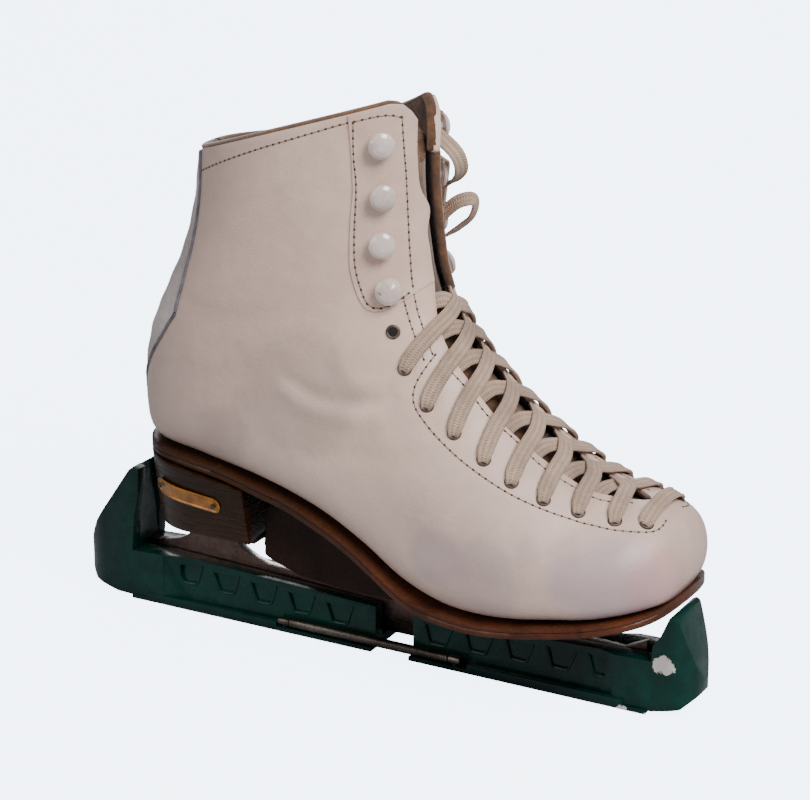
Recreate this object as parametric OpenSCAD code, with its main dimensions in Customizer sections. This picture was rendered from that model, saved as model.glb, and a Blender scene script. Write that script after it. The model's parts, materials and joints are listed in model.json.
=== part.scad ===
// Figure skate, right foot, standing in a spring-loaded blade guard.
// +X points to the toe, +Y to the inner side of the foot, +Z up. The origin is on the floor,
// under the middle of the guard. All sizes are in millimetres.

/* [Boot] */
// Thickness of the outer leather
leather_t = 2.0; // [1.6:0.1:2.2]
// Thickness of the lining
lining_t = 1.0; // [0.6:0.1:1.2]
// Diameter of a lace hook's head
hook_d = 11; // [9:0.5:12]
// Outer diameter of an eyelet ring
eyelet_d = 6.4; // [5:0.2:7]

/* [Sole and heel] */
// Thickness of the sole's edge
sole_t = 3.3; // [3:0.1:3.4]
// Height of the heel block's underside above the floor
heel_bottom = 42.5; // [42:0.1:43]

/* [Blade] */
// Thickness of the runner
blade_t = 4; // [3.6:0.1:4.2]
// Radius of the runner's rocker
rocker_r = 2100; // [2000:50:2400]
// Thickness of the mounting plates
plate_t = 2.5; // [2:0.1:2.6]

/* [Guard] */
// Half width of the guard's base
base_half = 13.5; // [13:0.1:14]
// Half width of the guard's walls
wall_half = 9; // [8:0.1:9]
// Half width of the channel that the blade stands in
channel_half = 3.2; // [2.6:0.1:3.6]
// Diameter of the spring's coil
spring_d = 4.4; // [3.6:0.1:4.6]

/* [Hidden] */
eps = 0.01;

// The boot is a row of closed sections, from the toe's tip to the rim of the cuff. Each lies in
// the plane through a front point and a back point, and is widest at a share of the way.
// front x, z, back x, z, half width, y offset, roundness front, back, share, lift outer, inner, gap
stations = [
    [138, 62, 138, 62, 0, 3, 2, 2, 0.5, 0, 0, 0],
    [137.2, 68, 137, 55, 13, 3, 2, 2.2, 0.45, 0, 0, 0],
    [135, 75, 134, 49.5, 23, 3, 2, 2.8, 0.42, 0, 0, 0],
    [130.5, 81, 129, 47.5, 30, 3, 2, 3.5, 0.4, 0, 0, 0],
    [122.5, 85, 120, 45, 36, 2.5, 2, 4, 0.38, 0, 0, 0],
    [111, 87.5, 108, 42.5, 40, 2, 2, 4.5, 0.36, 0, 0, 6.5],
    [99, 91, 94, 40.5, 42, 1, 2, 4.5, 0.34, 0, 0, 11],
    [87, 97.5, 79, 38, 43, 0, 2, 4.5, 0.34, 0, 0, 12],
    [74, 106.5, 61, 36, 42.5, 0, 2, 4.5, 0.34, 0, 0, 13.5],
    [60.5, 118, 43, 36.5, 40.5, 0, 2, 4.5, 0.36, 0, 0, 14.5],
    [48.5, 130, 24, 42, 38, 0, 2, 4.5, 0.38, 0, 0, 13.5],
    [40, 140, 4, 53.5, 36, 0, 2, 4.5, 0.4, 0, 0, 13],
    [33.5, 149, -18, 64, 35, 0, 2.1, 4.5, 0.42, 0, 0, 11.5],
    [29.5, 157, -45, 72.5, 35, 0, 2.1, 4.5, 0.42, 0, 0, 8.5],
    [27.5, 164, -76, 77.5, 34.5, 0, 2.2, 4, 0.42, 0, 0, 6.5],
    [26, 171, -103, 81, 34, 0, 2.2, 3, 0.42, 0, 0, 6],
    [25, 178, -111, 95, 33.5, 0, 2.2, 2.4, 0.42, 0, 0, 6],
    [24, 185, -110.5, 111, 33, 0, 2.2, 2.2, 0.42, 0, 0, 6.5],
    [23, 193, -106.5, 129, 32.5, 0, 2.2, 2.2, 0.44, 0, 0, 7],
    [22, 202, -99, 146, 32, 0, 2.2, 2.2, 0.46, 0, -1, 8],
    [21.5, 212, -90, 165, 32, 0, 2.2, 2.2, 0.48, 0, -3, 8.5],
    [21.5, 224, -84, 186, 32, 0, 2.2, 2.2, 0.5, 0, -5, 9],
    [22, 240, -81.5, 207, 32, 0, 2.2, 2.2, 0.5, 1, -7, 9]
];
rim = len(stations) - 1;
toe_start = 0.3;
throat_end = 4.4;

// Smooth value between the stations
function at(i) = stations[max(0, min(rim, i))];
function before(i) = i < 0 ? 2 * at(0) - at(1) : at(i);
function after(i) = i > rim ? 2 * at(rim) - at(rim - 1) : at(i);
function spline(a, b, c, d, f) =
    0.5 * (2 * b + (c - a) * f + (2 * a - 5 * b + 4 * c - d) * f * f
    + (3 * b - a - 3 * c + d) * f * f * f);
function station(t) =
    let(i = min(rim - 1, floor(t)))
    spline(before(i - 1), at(i), at(i + 1), after(i + 2), t - i);
function power(v, n) = sign(v) * pow(abs(v), 2 / n);
// A deeper layer starts further from the toe's tip.
function sunk(t, d) =
    let(s = d < 2 ? max(d, 0) / 2 : 1 + (d - 2) / 5)
    t < 4 ? s + t * (1 - s / 4) : t;

// Point of the boot at station t and angle a, sunk by d. Angle 0 is the front or top, 180 the
// back or bottom, and positive angles are on the outer side of the foot, -Y.
function boot(t, a, d = 0) =
    let(
        q = station(sunk(t, d)), front = [q[0], q[1]], back = [q[2], q[3]],
        span = front - back, e = span / max(norm(span), eps),
        f = front - d * e, b = back + d * e, mid = b + (f - b) * q[8],
        n = cos(a) > 0 ? q[6] : q[7], reach = cos(a) > 0 ? f - mid : mid - b,
        p = mid + reach * power(cos(a), n), lift = a > 0 ? q[9] : q[10]
    )
    [p[0], q[5] - max(q[4] - d, 0.2) * power(sin(a), n), p[1] + lift * sin(a) * sin(a)];
// Angle of the facing's edge, which is the throat's half gap
function facing(t) =
    let(q = station(t))
    t < throat_end ? 0.4 : max(0.4, asin(pow(min(1, max(0, q[11]) / q[4]), q[6] / 2)));
function unit(v) = v / norm(v);
function outward(t, a) =
    unit(cross(boot(t + 0.1, a) - boot(t - 0.1, a), boot(t, a + 2) - boot(t, a - 2)));

// Angle of the quarters' rear edge, with the notch above the heel
rear_edge = [
    [0, 179.5], [14.9, 179.5], [15.5, 172], [16.5, 163], [17, 148], [17.5, 133], [18, 124],
    [19, 129], [20, 137], [21, 144], [22, 150]
];

function steps(a, b, n) = [for (i = [0:n]) a + (b - a) * i / n];

// A closed sheet between two grids of points
module sheet(top, under) {
    rows = len(top);
    cols = len(top[0]);
    n = rows * cols;
    function a(i, j) = i * cols + j;
    function b(i, j) = n + a(i, j);
    points = concat([for (r = top) for (p = r) p], [for (r = under) for (p = r) p]);
    faces = concat(
        [for (i = [0:rows - 2]) for (j = [0:cols - 2]) each [
            [a(i, j), a(i, j + 1), a(i + 1, j + 1)], [a(i, j), a(i + 1, j + 1), a(i + 1, j)],
            [b(i, j), b(i + 1, j + 1), b(i, j + 1)], [b(i, j), b(i + 1, j), b(i + 1, j + 1)]
        ]],
        [for (j = [0:cols - 2]) each [
            [a(0, j), b(0, j), b(0, j + 1)], [a(0, j), b(0, j + 1), a(0, j + 1)],
            [a(rows - 1, j), b(rows - 1, j + 1), b(rows - 1, j)],
            [a(rows - 1, j), a(rows - 1, j + 1), b(rows - 1, j + 1)]
        ]],
        [for (i = [0:rows - 2]) each [
            [a(i, 0), b(i + 1, 0), b(i, 0)], [a(i, 0), a(i + 1, 0), b(i + 1, 0)],
            [a(i, cols - 1), b(i, cols - 1), b(i + 1, cols - 1)],
            [a(i, cols - 1), b(i + 1, cols - 1), a(i + 1, cols - 1)]
        ]]
    );
    polyhedron(points, faces, convexity = 8);
}

// A layer of the boot between two depths. side is 1 for the outer half and -1 for the inner.
module layer(ts, from, to, side, deep, thick, cols) {
    function row(t, d) = [for (u = steps(0, 1, cols))
        let(a = lookup(t, from), b = lookup(t, to)) boot(t, side * (a + (b - a) * u), d)];
    if (side > 0)
        sheet([for (t = ts) row(t, deep)], [for (t = ts) row(t, deep + thick)]);
    else
        sheet([for (t = ts) row(t, deep + thick)], [for (t = ts) row(t, deep)]);
}

// Places its children on the boot with Z along the outward normal.
module on_boot(t, a, lift = 0) {
    z = outward(t, a);
    x = unit(boot(t + 0.1, a) - boot(t - 0.1, a));
    y = cross(z, x);
    p = boot(t, a) + lift * z;
    multmatrix([
        [x[0], y[0], z[0], p[0]], [x[1], y[1], z[1], p[1]], [x[2], y[2], z[2], p[2]], [0, 0, 0, 1]
    ]) children();
}

facing_edge = [for (t = steps(0, rim, 44)) [t, facing(t) + 0.1]];
// Angle of the upper's column k, so that the layers under it have their points below its own
function column(k) = [for (t = upper_ts)
    let(a = lookup(t, facing_edge)) [t, a + (lookup(t, rear_edge) - a) * k / upper_cols]];
upper_ts = concat([toe_start, 1], steps(2, rim, 40));
upper_cols = 15;
clearance = 0.5;
stiff_deep = leather_t + clearance;
stiff_t = 0.9;
lining_deep = stiff_deep + stiff_t + clearance;
inside = lining_deep + lining_t;

module upper_half(side) {
    color("#dcd2cb") layer(upper_ts, facing_edge, rear_edge, side, 0, leather_t, upper_cols);
}
module upper_outer() { upper_half(1); }
module upper_inner() { upper_half(-1); }

// Soft strip up the back, set into the notch between the quarters
strip_gap = 3.5;
module back_strip() {
    ts = steps(16, rim, 12);
    function row(t, d) = [for (u = steps(-1, 1, 16))
        let(a = 180 + u * (180 - lookup(t, rear_edge) - strip_gap)) back_point(t, a, d)];
    color("#e6e2de") sheet([for (t = ts) row(t, 0.4)], [for (t = ts) row(t, leather_t)]);
}
function back_point(t, a, d) = boot(t, a > 180 ? a - 360 : a, d);

// Dark cord along the rear edge of each quarter
module piping() {
    for (side = [1, -1]) color("#5d5a5e")
        cord([for (t = steps(15.8, rim - 0.1, 14))
            boot(t, side * (lookup(t, rear_edge) + 0.6), -0.8)], 0.7, 6);
}

// Round cord through points, with the given number of sides
function heading(p, i) = unit(p[min(i + 1, len(p) - 1)] - p[max(i - 1, 0)]);
module cord(p, r, sides) {
    rings = [for (i = [0:len(p) - 1])
        let(
            d = heading(p, i), k = abs(d[1]) < 0.9 ? [0, 1, 0] : [1, 0, 0],
            x = unit(cross(k, d)), y = cross(d, x)
        )
        [for (j = [0:sides - 1]) p[i] + r * (cos(360 * j / sides) * x + sin(360 * j / sides) * y)]];
    tube(rings);
}
module tube(rings) {
    m = len(rings[0]);
    n = len(rings);
    points = [for (r = rings) for (p = r) p];
    faces = concat(
        [[for (j = [0:m - 1]) j]],
        [[for (j = [m - 1:-1:0]) (n - 1) * m + j]],
        [for (i = [0:n - 2]) for (j = [0:m - 1]) each
            let(a = i * m + j, b = i * m + (j + 1) % m) [[a, b + m, b], [a, a + m, b + m]]]
    );
    polyhedron(points, faces, convexity = 6);
}

// Leather patch under the hooks
patch_front = [for (t = steps(14, rim, 16)) [t, facing(t) + 1]];
patch_rear = [[14.2, 40], [15, 44], [16, 46], [17, 47], [20, 50.5], [22, 56]];
module hook_patch(side) {
    color("#ded5cd") layer(steps(14.5, 21.5, 14), patch_front, patch_rear, side, -1.1, 0.8, 5);
}
module hook_patch_outer() { hook_patch(1); }
module hook_patch_inner() { hook_patch(-1); }

// Folded edge along the rim, one piece on each half
module collar_binding() {
    function row(side, d, up) = [for (u = steps(0, 1, 20))
        boot(rim, side * (facing(rim) + (179 - facing(rim)) * u), d) + [0, 0, up]];
    for (side = [1, -1]) {
        outside = [row(side, 0.3, 0.1), row(side, 0.3, 1.4)];
        within = [row(side, inside, 0.1), row(side, inside, 1.4)];
        color("#7a5a3c") sheet(side > 0 ? outside : within, side > 0 ? within : outside);
    }
}

all_round = [[0, 179.5], [rim, 179.5]];
module lining_half(side) {
    color("#8a6a4a") layer(upper_ts, facing_edge, all_round, side, lining_deep, lining_t, 15);
}
module lining_outer() { lining_half(1); }
module lining_inner() { lining_half(-1); }

// Foam between leather and lining round the cuff
module collar_padding() {
    for (side = [1, -1]) color("#c9b48a")
        layer(steps(17, 21.5, 9), column(5), column(11), side, stiff_deep, stiff_t, 6);
}

// Stiff cap inside the toe
module toe_box() {
    for (side = [1, -1]) color("#b8a27c")
        layer(concat([toe_start, 1], steps(2, 4, 4)), column(0), column(13), side, stiff_deep,
            stiff_t, 13);
}

// Stiff cup inside the heel
module heel_counter() {
    for (side = [1, -1]) color("#b8a27c")
        layer(steps(13, 17, 8), column(8), column(15), side, stiff_deep, stiff_t, 7);
}

// Tongue, in a lower part sewn in at the vamp and an upper part that folds back
tongue_deep = inside + 0.6;
tongue_t = 3;
tongue_half = [[4.6, 22], [6, 30], [8, 38], [12, 46], [14, 50], [rim + 1, 58]];
fold = 12.6;
module tongue_part(t0, t1, n, deep, thick, share) {
    function row(t, d) = [for (u = steps(-1, 1, 10)) boot(t, u * lookup(t, tongue_half) * share, d)];
    sheet([for (t = steps(t0, t1, n)) row(t, deep)],
        [for (t = steps(t0, t1, n)) row(t, deep + thick)]);
}
module tongue_lower() { color("#6f5138") tongue_part(5, fold - 0.35, 8, tongue_deep, tongue_t, 1); }
module tongue_upper() {
    color("#6f5138") tongue_part(fold + 0.5, 21.2, 9, tongue_deep, tongue_t, 0.94);
}
module tongue_lining() {
    color("#a08358") tongue_part(5.2, fold - 0.4, 8, tongue_deep + tongue_t + 0.2, 1.2, 0.85);
}

// Eyelets and hooks, as station and angle
eyelets = [
    [13.25, 42], [12, 48], [10.8, 49], [9.75, 46], [8.8, 43], [7.95, 41], [7, 38], [5.95, 34],
    [4.8, 32], [3.8, 27]
];
hooks = [[21.15, 40], [19.45, 37], [17.45, 36], [15, 35]];
module eyelet_row(side) {
    for (e = eyelets) color("#8f8a86") on_boot(e[0], side * e[1], 0.3)
        rotate_extrude($fn = 32)
            translate([eyelet_d / 4 + 0.7, 0.25]) square([eyelet_d / 4 + 0.2, 0.5], center = true);
}
module eyelets_outer() { eyelet_row(1); }
module eyelets_inner() { eyelet_row(-1); }
module hook() {
    cylinder(d = hook_d - 2, h = 0.8, $fn = 48);
    cylinder(d = 4, h = 3.4, $fn = 32);
    translate([0, 0, 3])
        rotate_extrude($fn = 64)
            polygon([[0, 0], [hook_d / 2 - 0.5, 0], [hook_d / 2, 0.5], [hook_d / 2 - 0.3, 1.3],
                [hook_d / 2 - 1.6, 2.2], [hook_d / 2 - 3.4, 2.8], [0, 3]]);
}
module hook_row(side) {
    for (h = hooks) color("#efece8") on_boot(h[0], side * h[1], 1.3) hook();
}
module hooks_outer() { hook_row(1); }
module hooks_inner() { hook_row(-1); }

// Lace: a flat band from each eyelet over its facing, across the throat and under the other
// facing to the next eyelet up, and a bar across the lowest pair
lace_w = 7;
lace_t = 1.3;
module band(points, ups) {
    rings = [for (i = [0:len(points) - 1])
        let(d = heading(points, i), x = unit(cross(ups[i], d)), z = cross(d, x))
        [for (c = [[-1, 0], [-0.8, -1], [0.8, -1], [1, 0], [0.8, 1], [-0.8, 1]])
            points[i] + c[0] * lace_w / 2 * x + c[1] * lace_t / 2 * z]];
    tube(rings);
}
// One crossing of the lace, from eyelet i up to the next one on the other side
module crossing(i, side, lift) {
    low = eyelets[i];
    high = eyelets[i - 1];
    edge = max(facing(low[0]), 8);
    mid = (low[0] + high[0]) / 2;
    // station, angle and height above the leather
    route = [
        [low[0], side * low[1], 2.7],
        [low[0] + 0.1 * (high[0] - low[0]), side * (edge + 8), 2.2 + lift],
        [mid - 0.2, side * 2, 1.6 + 1.6 * lift],
        [high[0] - 0.1, -side * 0.5 * edge, lift - 0.6]
    ];
    band([for (r = route) boot(r[0], r[1], -r[2])], [for (r = route) outward(r[0], r[1])]);
}
module lace() {
    angles = [26, 13, 0, -13, -26];
    color("#bfb3a8") {
        for (i = [1:8]) crossing(i, 1, 0.4);
        band([for (a = angles) boot(3.9, a, -2.2)], [for (a = angles) outward(3.9, a)]);
    }
}

// Free ends of the lace, hanging from the upper hooks of the inner side
lace_end_r = 1.6;
front_end = [
    [8, 33, 205], [7, 38, 202], [4, 42, 192], [1, 44, 174], [-1, 45, 150], [-2, 46, 128],
    [-3, 47, 108], [-4, 48, 90], [-5, 48, 74]
];
rear_end = [
    [5, 36, 224], [3, 41, 219], [-1, 43, 205], [-5, 44, 185], [-9, 45, 162], [-12, 46, 140],
    [-16, 46, 118], [-19, 46, 100], [-21, 47, 84]
];
module lace_end_front() { color("#bfb3a8") cord(front_end, lace_end_r, 8); }
module lace_end_rear() { color("#bfb3a8") cord(rear_end, lace_end_r, 8); }
module aglets() {
    for (p = [front_end, rear_end]) {
        last = p[len(p) - 1];
        d = heading(p, len(p) - 1);
        color("#e8e2d8") cord([last, last + 18 * d], 1.7, 8);
    }
}

// Sole profile: x, height of the top, half width outer, half width inner
sole = [
    [-109, 80, 6, 6], [-107, 80, 14, 14], [-102, 79.8, 22, 22], [-94, 79.4, 28.5, 28.5],
    [-80, 78.4, 32.5, 32], [-62, 76.2, 33.5, 32.5], [-45, 72.3, 34, 32], [-30, 68.4, 34, 31],
    [-18, 63.8, 34.5, 31], [-7, 59, 35, 31.5], [4, 53.3, 36, 33], [14, 47.6, 37.5, 35],
    [24, 41.9, 39, 38], [33, 38.4, 40.5, 40], [43, 36.4, 41.5, 42], [61, 35.9, 43.5, 44],
    [79, 37.9, 44, 44], [94, 40.4, 42.5, 44.5], [108, 42.4, 39, 43.5], [120, 44.9, 34, 39.5],
    [129, 47.3, 27, 33.5], [134, 49.4, 20, 27], [137, 51.4, 12, 19], [138.6, 52.6, 4, 10]
];
// A plate that follows the sole. Each row gives the points across it.
module sole_plate_shape(rows, drop, thick, inset) {
    function across(s, z) = [for (u = steps(-1, 1, 6))
        [s[0], u < 0 ? u * (s[2] - inset) : u * (s[3] - inset), s[1] + z]];
    sheet([for (s = rows) across(s, -drop)], [for (s = rows) across(s, -drop - thick)]);
}
sole_drop = 0.8;
module outsole() { color("#6b3f2c") sole_plate_shape(sole, sole_drop, sole_t, 0); }
// Inside the boot, from the bottom up: insole board, steel shank and footbed
inner_sole = [for (i = [3:len(sole) - 6]) sole[i]];
shank_rows = [for (i = [4:14]) [sole[i][0], sole[i][1], 7, 7]];
board_top = inside + 3.4;
shank_top = board_top + 1.1;
footbed_top = shank_top + 3.2;
module insole_board() { color("#9a7b58") sole_plate_shape(inner_sole, -board_top, 2, 20); }
module shank() { color("#8d8f92") sole_plate_shape(shank_rows, -shank_top, 0.9, 0); }
module footbed() { color("#c8b48e") sole_plate_shape(inner_sole, -footbed_top, 3, 13.5); }

// Heel block: a round back and a straight breast, tapering to the underside. k is 0 at the top
// and 1 at the underside.
breast = -50;
sole_line = [for (s = sole) [s[0], s[1]]];
function sole_height(x) = lookup(x, sole_line);
function heel_r(k) = 33 - 7.5 * k;
function heel_x(k) = -76 - 5 * k;
function heel_row(a, k) = [heel_x(k) - heel_r(k) * cos(a), heel_r(k) * sin(a)];
module heel_stack() {
    function rows(k) = concat([for (a = [12, 25, 38, 51, 64, 77, 90]) heel_row(a, k)],
        [[breast - k, heel_r(k)]]);
    function across(r, k) = [for (u = steps(-1, 1, 4))
        [r[0], u * r[1], k == 0 ? sole_height(r[0]) - sole_drop - sole_t - 0.2 : heel_bottom]];
    color("#5a3724") sheet([for (r = rows(0)) across(r, 0)], [for (r = rows(1)) across(r, 1)]);
}

module heel_top_lift() {
    color("#241a17") translate([0, 0, heel_bottom - 1.6]) linear_extrude(1.5) hull() {
        translate([-81, 0]) circle(r = 20, $fn = 96);
        translate([-60, -20]) square([8, 40]);
    }
}

// Concave web that fills the arch between the heel and the ball
module arch_web() {
    xs = [-48, -40, -30, -18, -7, 4, 14, 22, 28];
    function width(x) = lookup(x, [[-48, 22], [-30, 23], [0, 25], [28, 28]]);
    function low(x) = lookup(x, [[-48, 40], [-42, 37], [-28, 32.8], [-4, 31.8], [20, 32.8], [28, 34]]);
    function across(x, z) = [for (u = [-1, -0.6, 0, 0.6, 1]) [x, u * width(x), z]];
    color("#33201b") sheet([for (x = xs) across(x, sole_height(x) - sole_drop - sole_t - 0.3)],
        [for (x = xs) across(x, low(x))]);
}

// Plain metal badge on the heel's outer side, held by two pins
badge_x = [-96, -62];
function badge_z(x) = 63 - (x - badge_x[0]) * 0.11;
function heel_share(z) = (75 - z) / 32.5;
// Outer wall of the heel block, and the angle that it faces
function heel_wall(x, z) =
    let(k = heel_share(z), r = heel_r(k), c = heel_x(k)) x > c ? -r : -sqrt(r * r - pow(x - c, 2));
function heel_turn(x, z) =
    let(k = heel_share(z), c = heel_x(k)) x > c ? 0 : asin((x - c) / heel_r(k));
module badge() {
    function column(x, d) = [for (v = [-3.4, -1.1, 1.1, 3.4])
        let(z = badge_z(x) + v) [x, heel_wall(x, z) - d, z]];
    xs = steps(badge_x[0], badge_x[1], 12);
    color("#b5782a") sheet([for (x = xs) column(x, 1.4)], [for (x = xs) column(x, 0.6)]);
}
module badge_pins() {
    for (x = [badge_x[0] + 3, badge_x[1] - 3]) let(z = badge_z(x))
        color("#3a2a1c") translate([x, heel_wall(x, z), z]) rotate([90, 0, heel_turn(x, z)])
            translate([0, 0, 1.6]) cylinder(d = 2.2, h = 0.6, $fn = 32);
}

// Blade: the runner with its two stanchions, cut from one plate
function rocker(x) = 5.6 + pow(x, 2) / (2 * rocker_r);
plate_top = heel_bottom - 1.7;
front_plate_z = 29;
module blade_runner() {
    bottom = [for (x = steps(-112, 108, 22)) [x, rocker(x)]];
    picks = [[110, 8], [112, 10.6], [114, 9.6], [116, 12.6], [118, 12], [119.5, 16], [121, 16.4]];
    toe = [[121.7, 20], [121.4, 26.5], [119, 25.4], [111, 21.6]];
    top = [
        [97, 21.6], [75, 22], [70, 24], [67, front_plate_z], [35, front_plate_z], [32, 25],
        [27, 23.2], [-8, 23.5], [-45, 23.7], [-57, 24.2], [-63, 26], [-69, 29], [-72.5, 32.5],
        [-74, plate_top - plate_t - 0.05], [-96, plate_top - plate_t - 0.05], [-95.5, 33],
        [-97.5, 30], [-102, 27.6], [-108, 26], [-113.5, 25.2], [-113.5, 13]
    ];
    color("#b9b4b3") rotate([90, 0, 0]) translate([0, 0, -blade_t / 2]) linear_extrude(blade_t)
        polygon(concat(bottom, picks, toe, top));
}
// Screw holes of the plates: x, y
sole_screws = [[37, 10], [37, -10], [49, 11.5], [49, -11.5], [62, 10], [62, -10]];
heel_screws = [[-94, 7], [-94, -7], [-78, 8.5], [-78, -8.5], [-63, 7.5], [-63, -7.5]];
hole_d = 4;
module sole_plate() {
    color("#a9a5a4") difference() {
        translate([0, 0, front_plate_z + 0.05]) linear_extrude(plate_t) hull() {
            translate([44, 0]) circle(r = 15, $fn = 64);
            translate([60, 0]) circle(r = 14, $fn = 64);
        }
        for (s = sole_screws) translate([s[0], s[1], front_plate_z - 1])
            cylinder(d = hole_d, h = 6, $fn = 32);
    }
}
module heel_plate() {
    color("#a9a5a4") difference() {
        translate([0, 0, plate_top - plate_t]) linear_extrude(plate_t - 0.05) hull() {
            translate([-91, 0]) circle(r = 11, $fn = 64);
            translate([-66, 0]) circle(r = 12.5, $fn = 64);
        }
        for (s = heel_screws) translate([s[0], s[1], plate_top - 5])
            cylinder(d = hole_d, h = 8, $fn = 32);
    }
}
module screw(length) {
    translate([0, 0, -0.3]) cylinder(d = 3.9, h = length + 0.3, $fn = 32);
    translate([0, 0, -1.8]) cylinder(d1 = 5, d2 = 7, h = 1.7, $fn = 32);
}
module sole_plate_screws() {
    for (s = sole_screws) color("#8d8f92") translate([s[0], s[1], front_plate_z]) screw(2.5);
}
module heel_plate_screws() {
    for (s = heel_screws) color("#8d8f92") translate([s[0], s[1], plate_top - plate_t]) screw(2.4);
}

// Guard halves. The side outline is extruded and then hollowed by the channel and the windows.
floor_z = 3.6;
gap_from = 0.5;
gap_to = 18.5;
window_pitch = 18.8;
module side_view(y) {
    rotate([90, 0, 0]) translate([0, 0, -y]) linear_extrude(2 * y) children();
}
module window(x, z, tilt) {
    for (side = [1, -1]) translate([x, side * wall_half, z]) rotate([90, tilt, 0])
        translate([0, 0, -1]) linear_extrude(2)
            polygon([[0, 0], [12.6, 0], [9.6, -7.6], [3, -7.6]]);
}
module guard_heel_shell() {
    color("#0f4a40") difference() {
        union() {
            intersection() {
                side_view(20) polygon([
                    [gap_from, 0], [gap_from, 19], [-104.5, 23.2], [-104.5, 0]
                ]);
                translate([-110, -wall_half, 0]) cube([120, 2 * wall_half, 30]);
            }
            intersection() {
                side_view(20) polygon([
                    [-90, 0], [-128, 1.6], [-140, 5], [-146, 11], [-146.5, 17], [-138.5, 33],
                    [-120, 60], [-117.5, 62], [-115, 61], [-115.5, 50], [-118, 38], [-119.5, 22.5],
                    [-104.5, 23.2], [-90, 22.6]
                ]);
                translate([0, 0, -1]) linear_extrude(80) {
                    translate([-133.5, 0]) circle(r = 13, $fn = 96);
                    translate([-133.5, -13]) square([30, 26]);
                    polygon([[-104, -13], [-104, 13], [-94, wall_half], [-94, -wall_half]]);
                }
            }
            linear_extrude(1.8) {
                translate([-120, -base_half]) square([120 + gap_from, 2 * base_half]);
            }
            for (side = [1, -1]) translate([-112, side * (base_half - 1.2) - 1.2, 0])
                cube([66, 2.4, 4]);
        }
        side_view(channel_half) polygon([
            [-119.5, 60], [-119.5, floor_z + 3.5], [gap_from + 1, floor_z],
            [gap_from + 1, 60]
        ]);
        translate([-119.5, -7.5, 24]) cube([20, 15, 50]);
        for (i = [0:4]) window(-98.5 + i * window_pitch, 19 - i * 0.75, -1.7);
    }
}
module guard_toe_shell() {
    color("#0f4a40") difference() {
        union() {
            intersection() {
                side_view(20) polygon([[gap_to, 0], [gap_to, 19], [115.5, 22.6], [115.5, 0]]);
                translate([10, -wall_half, 0]) cube([110, 2 * wall_half, 30]);
            }
            intersection() {
                side_view(20) polygon([
                    [100, 0], [128, 1.2], [140, 4], [145.5, 9], [146.5, 15], [143.5, 27],
                    [138.2, 43], [136.5, 43.8], [134.8, 43], [131, 34], [128, 30], [127.5, 22.8],
                    [115.5, 22.6], [100, 22]
                ]);
                translate([0, 0, -1]) linear_extrude(80) {
                    translate([134.5, 0]) circle(r = 12, $fn = 96);
                    translate([112, -12]) square([22.5, 24]);
                    polygon([[112, -12], [112, 12], [104, wall_half], [104, -wall_half]]);
                }
            }
            linear_extrude(1.8) {
                translate([gap_to, -base_half]) square([126 - gap_to, 2 * base_half]);
            }
            for (side = [1, -1]) translate([46, side * (base_half - 1.2) - 1.2, 0])
                cube([70, 2.4, 4]);
        }
        side_view(channel_half) polygon([
            [gap_to - 1, 60], [gap_to - 1, floor_z], [127.5, floor_z + 3.5], [127.5, 60]
        ]);
        translate([118, -6.5, 23.5]) cube([9.5, 13, 30]);
        for (i = [0:4]) window(24 + i * window_pitch, 16.4 + i * 0.6, 1.9);
    }
}

// Extension spring along the outer side, hooked to a ferrule on each half
spring_y = -11.5;
spring_z = 4.2;
spring_from = -40;
spring_to = 37;
module along_x(x0, x1, d) {
    translate([x0, spring_y, spring_z]) rotate([0, 90, 0]) cylinder(d = d, h = x1 - x0, $fn = 48);
}
module guard_spring() { color("#7d776f") along_x(spring_from, spring_to, spring_d); }
module anchor(x0, x1) {
    color("#9a9286") {
        along_x(x0, x1, 3.6);
        translate([(x0 + x1) / 2, spring_y, 1.85]) cylinder(d = 2, h = 2, $fn = 32);
    }
}
module spring_anchor_heel() { anchor(spring_from - 5.2, spring_from - 0.1); }
module spring_anchor_toe() { anchor(spring_to + 0.1, spring_to + 5.2); }

upper_outer();
upper_inner();
back_strip();
piping();
hook_patch_outer();
hook_patch_inner();
collar_binding();
lining_outer();
lining_inner();
collar_padding();
toe_box();
heel_counter();
tongue_lower();
tongue_upper();
tongue_lining();
eyelets_outer();
eyelets_inner();
hooks_outer();
hooks_inner();
lace();
lace_end_front();
lace_end_rear();
aglets();
footbed();
insole_board();
shank();
outsole();
arch_web();
heel_stack();
heel_top_lift();
badge();
badge_pins();
blade_runner();
sole_plate();
heel_plate();
sole_plate_screws();
heel_plate_screws();
guard_toe_shell();
guard_heel_shell();
guard_spring();
spring_anchor_toe();
spring_anchor_heel();
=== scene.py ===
import json
import math
import bpy
import numpy as np
from mathutils import Matrix, Vector

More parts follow.
